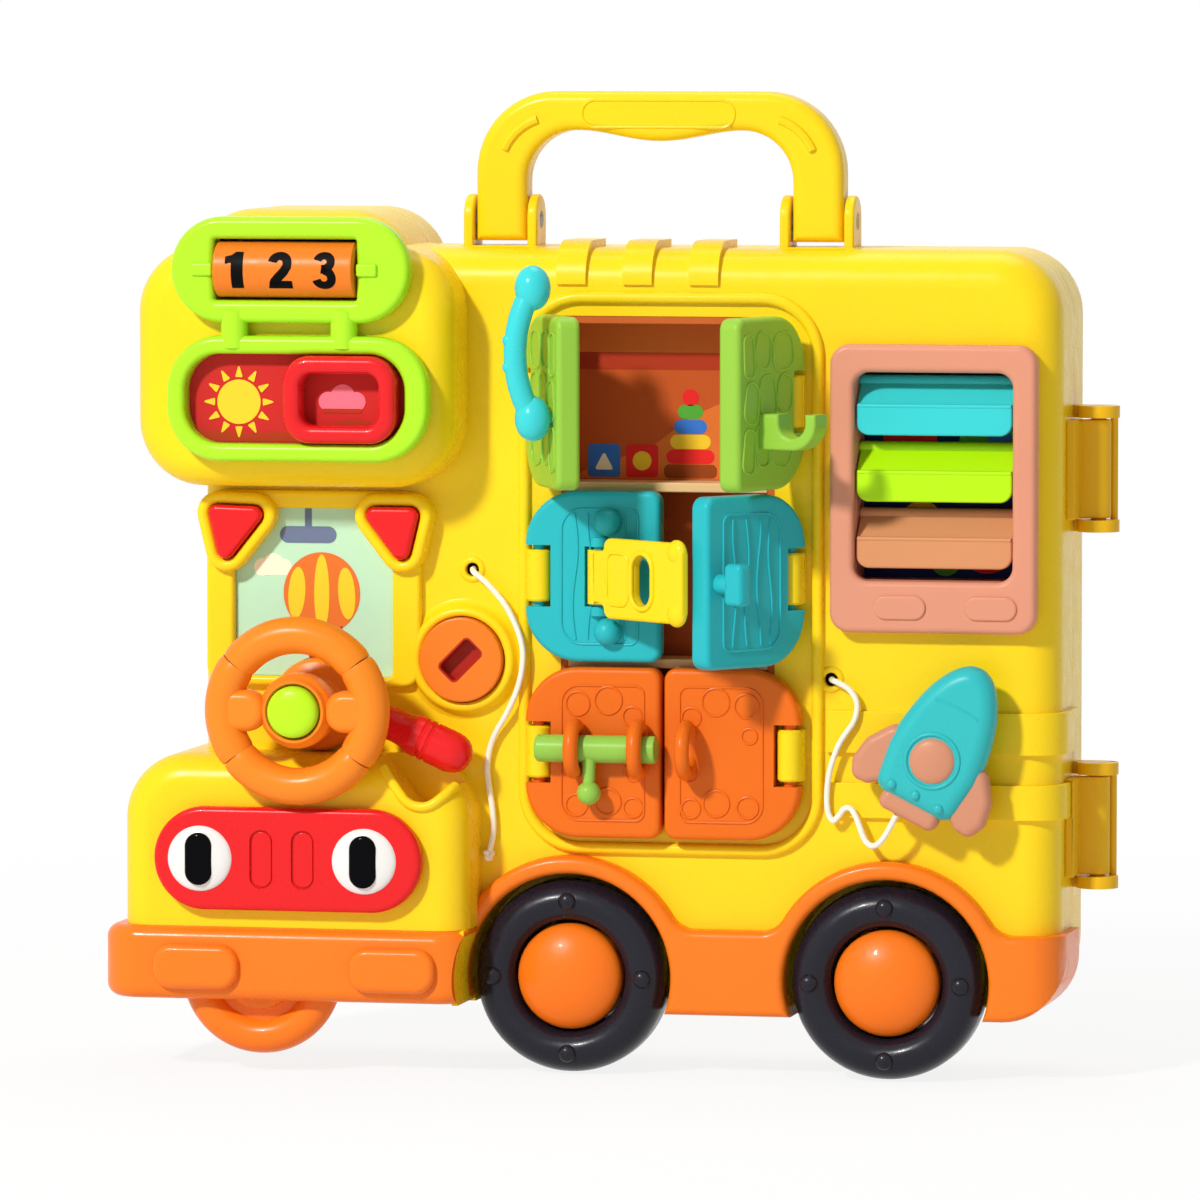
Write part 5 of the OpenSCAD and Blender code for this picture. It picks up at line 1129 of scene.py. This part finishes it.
SHUTTER_Y = 14.0
shutter = slab([rrect(76.5, 145.7, 149.2, 244.6, 6.5), rrect(*WINDOW, 5)], -7, 0.4, 2.0, 5)
sleeve = slab([rrect(*grow(WINDOW, SLEEVE), 6), rrect(*WINDOW, 0.3, 2)], -0.2, SHUTTER_Y)
grips = [slab([pill(x, x + 17.5, 153.7, 161.7)], -7.9, -6, 0.7, 3) for x in (91.5, 122)]
piece("shutter_surround", [shutter, sleeve] + grips, PINK, "shutter_frame", sharp=32)
board = slab([rrect(*grow(WINDOW, SLEEVE), 1)], SHUTTER_Y, 14.8)
piece("shutter_board", [board], INK["navy"], "shutter_card")
art("shutter_red", "red", SHUTTER_Y, [disc(100, 213, 9), disc(126, 178, 10), disc(96, 178, 8)])
art("shutter_yellow", "yellow", SHUTTER_Y, [disc(103, 206, 5), disc(104, 185, 7), disc(128, 203, 4)], 2)
art("shutter_green", "green", SHUTTER_Y, [disc(126, 211, 9.5), disc(112, 172, 5)])
art("shutter_blue", "blue", SHUTTER_Y, [disc(130, 213, 4), disc(91, 200, 4)], 3)

SLAT_TOP, SLAT_PITCH, SLAT_Y = 232.0, 22.0, 6.5
SLAT_LEFT, SLAT_RIGHT = 85.0, 137.2
BLADE = ((SLAT_Y, 1.2), (SLAT_Y, -1.2), (-2.2, -9.9), (-3.1, -9.3), (-3.1, -7.9), (-2.6, -7.3))
for i, (name, mat) in enumerate((("slat_blue", SLAT_BLUE), ("slat_green", SLAT_LIME),
                                 ("slat_tan", SLAT_TAN))):
    z = SLAT_TOP - SLAT_PITCH * i
    axle = tube([(83.2, SLAT_Y, z), (139, SLAT_Y, z)], 1.5, 20)
    rod = tube([(SLAT_LEFT, SLAT_Y, z), (SLAT_RIGHT, SLAT_Y, z)], 2.1, 24)
    blade = slab([[(y, z + v) for y, v in BLADE]], -26.1, 26.1, 0.4, 2)
    blade.transform(Matrix(((0, 0, 1, 111.1), (0, 1, 0, 0), (-1, 0, 0, 0), (0, 0, 0, 1))))
    lip = slab([rrect(SLAT_LEFT, SLAT_RIGHT, z - 17.5, z - 7.3, [4.2, 4.2, 1.0, 1.0])], -3.7, -1.3, 0.7, 4)
    fold = tube([(85.4, -3.2, z - 7.8), (136.8, -3.2, z - 7.8)], 0.8, 14)
    moving(name + "_vane", [axle, rod, blade, lip, fold], mat, name, sharp=32)


# Rocket

ROCKET = PANEL @ move(111.5, 0, 104.5) @ spin(27, "Y") @ FACING
NOSE, BELLY, TAIL, TAIL_HALF, TAIL_CORNER = 38.0, 16.5, -13.0, 15.2, 6.0
PORT_V, PORT_RING = 4, 8.9
SEAM_V = 23.6


def rocket_loop():
    """Outline with an elliptical nose and round tail corners."""
    right = arc(TAIL_HALF - TAIL_CORNER, TAIL + TAIL_CORNER, TAIL_CORNER, -90, 0, 9)
    right += [(BELLY * cos(radians(d)), NOSE * sin(radians(d))) for d in range(4, 91, 3)]
    return right + [(-u, v) for u, v in right[-2::-1]]


hull = slab([rocket_loop()], -19, -7, 5.4, 9)
seam_half = BELLY * sqrt(1 - (SEAM_V / NOSE) ** 2)
seam_line = [(seam_half * t, SEAM_V - 1.6 * t * t) for t in [k / 10 - 0.64 for k in range(13)]]
seam = ridge(seam_line, 0.9, -19.2, closed=False)
rivets = [ball(u, -18.7, -8.6 - 0.006 * u * u, 1.7, (1, 0.8, 1)) for u in (-8.5, 0.2, 9)]
halo = tube([(u, -18.9, v) for u, v in disc(0, PORT_V, PORT_RING, 48)], 0.75, 10, closed=True)
peg = tube([(0, -8, 0), (0, 7.6, 0), (0, 8, 0)], [4, 4, 3.4], 24)
piece("rocket_hull", [hull, seam, halo, peg] + rivets, ROCKET_TEAL, "rocket_body", "rocket",
      at=ROCKET)
window = lathe([(0, -20.6), (3.2, -20.5), (5.8, -20.1), (7.3, -19.4), (7.95, -18.4), (8.0, -17), (0, -17)],
               56, (0, PORT_V))
FIN = ((11, 9.5), (17.5, 8.5), (23.4, 0), (24.8, -8), (22, -14), (16.5, -13.5), (10, -9))
fins = []
for s in (-1, 1):
    fin = soft([(s * u, v) for u, v in FIN], [3, 5, 6, 4.5, 3.6, 3.2, 3], 10)
    fins.append(slab([fin[::s]], -16.6, -8.2, 2.9, 5))
tail = slab([rrect(-10.5, 10.5, -18, -11, 2.8, 6)], -17, -8, 2.6, 6)
piece("rocket_fins", [window, tail] + fins, ROCKET_TRIM, "rocket_trim", "rocket", at=ROCKET)


# Handle

HX, HALF, LEG = 14.2, 62.5, 17.2
TOP, FOOT = 327.5, 277.5
GRIP, BOW_R, INNER_R, SAG = 13.0, 27, 17.0, 1.8
LEGS = ((HX - HALF, HX - HALF + LEG), (HX + HALF - LEG, HX + HALF))
EAR_BASE, EAR_Y, EAR_V, EAR_R = 275.4, 22, 285.5, 7.5


def handle_loop():
    """Bow with round shoulders and a grip that swells downwards."""
    low = TOP - BOW_R
    outer = arc(HX + HALF - BOW_R, low, BOW_R, 0, 90, 14) + arc(HX - HALF + BOW_R, low, BOW_R, 90, 180, 14)
    left, right = LEGS[0][1], LEGS[1][0]
    roof = TOP - GRIP
    belly = [(left + INNER_R + (right - left - 2 * INNER_R) * t, roof - SAG * (1 - cos(2 * pi * t)))
             for t in [i / 24 for i in range(1, 24)]]
    inner = (arc(left + INNER_R, roof - INNER_R, INNER_R, 180, 90, 12) + belly
             + arc(right - INNER_R, roof - INNER_R, INNER_R, 90, 0, 12))
    return [(HX + HALF, FOOT)] + outer + [(HX - HALF, FOOT), (left, FOOT)] + inner + [(right, FOOT)]


grip = slab([handle_loop()], 15, 29, 3.6, 6)
shoulders = [ridge(arc(HX + s * (HALF - BOW_R), TOP - BOW_R, 18.6, 90 - s * 18, 90 - s * 66, 12), 3.0, 14.6,
                   closed=False) for s in (-1, 1)]
nameplate = ridge(pill(HX - 26, HX + 26, 315.6, 324.6, 10), 1.0, 14.72)
moving("grip_bow", [grip, nameplate] + shoulders, YELLOW_HANDLE, "carry_handle")
ear_side = [(EAR_Y - EAR_R, EAR_BASE), (EAR_Y + EAR_R, EAR_BASE)] + arc(EAR_Y, EAR_V, EAR_R, 0, 180, 20)
ears = []
for a, b in LEGS:
    for left in (a - 4.0, b + 0.6):
        ear = slab([ear_side], -3.4, 0, 1.0, 4)
        ear.transform(FACING.inverted() @ move(left, 0, 0) @ ALONG_U)
        ears.append(ear)
pads = [rounded_box((a - 4.6, 12.5, 274.2), (b + 4.6, 31.2, 275.9), 0.7) for a, b in LEGS]
piece("handle_ears", ears + pads, YELLOW_HANDLE, "handle_brackets")
carried("handle_pins", STEEL)


# Stage and light

def seen(tree):
    """One for rays from the camera, and for those that are mirrored or come through something clear."""
    rays = add(tree, "LightPath").outputs
    share = rays["Is Camera Ray"]
    for other in ("Is Glossy Ray", "Is Transmission Ray"):
        share = add(tree, "Math", {0: share, 1: rays[other]}, operation="MAXIMUM").outputs[0]
    return share


def stage_material():
    """Floor that takes a shadow and fades to white away from the part."""
    mat = bpy.data.materials.new("pale_floor")
    mat.use_nodes = True
    tree = mat.node_tree
    bsdf = tree.nodes["Principled BSDF"]
    feed(tree, bsdf, {"Base Color": (0.9, 0.9, 0.9, 1.0), "Roughness": 0.9})
    glow = add(tree, "Emission", {"Strength": 1.0})
    away = add(tree, "VectorMath", {0: add(tree, "TexCoord").outputs["Object"]}, operation="LENGTH")
    fade = add(tree, "MapRange", {"Value": away.outputs["Value"], "From Min": 0.15, "From Max": 0.9,
                                  "To Min": 0.86, "To Max": 1.0})
    share = add(tree, "Math", {0: seen(tree), 1: fade.outputs["Result"]}, operation="MULTIPLY")
    mix = add(tree, "MixShader", {0: share.outputs[0], 1: bsdf.outputs[0], 2: glow.outputs[0]})
    feed(tree, tree.nodes["Material Output"], {"Surface": mix.outputs[0]})
    return mat


FLOOR_DROP = 0.0004
floor_data = bpy.data.meshes.new("floor")
floor_data.from_pydata([(-12, -6, 0), (12, -6, 0), (12, 14, 0), (-12, 14, 0)], [], [(0, 1, 2, 3)])
floor_data.materials.append(stage_material())
floor = placed("floor", floor_data)
floor.location = (0, 0, -FLOOR_DROP)

WARM = (1.0, 0.985, 0.96)
world = bpy.data.worlds.new("studio")
scene.world = world
world.use_nodes = True
tree = world.node_tree
sky = tree.nodes["Background"]
feed(tree, sky, {"Color": (*WARM, 1.0), "Strength": 0.3})
white = add(tree, "Background", {"Color": (1.0, 1.0, 1.0, 1.0), "Strength": 1.0})
blend = add(tree, "MixShader", {0: seen(tree), 1: sky.outputs[0], 2: white.outputs[0]})
feed(tree, tree.nodes["World Output"], {"Surface": blend.outputs[0]})


def lamp(name, place, size, power, colour=(1, 1, 1)):
    data = bpy.data.lights.new(name, "AREA")
    data.size = size
    data.energy = power
    data.color = colour
    aimed(name, data, place)


lamp("key", (-1.03, -2.3, 1.8), 0.24, 73.5, WARM)
lamp("top", (0.1, 0.5, 2.2), 1.2, 14.5)
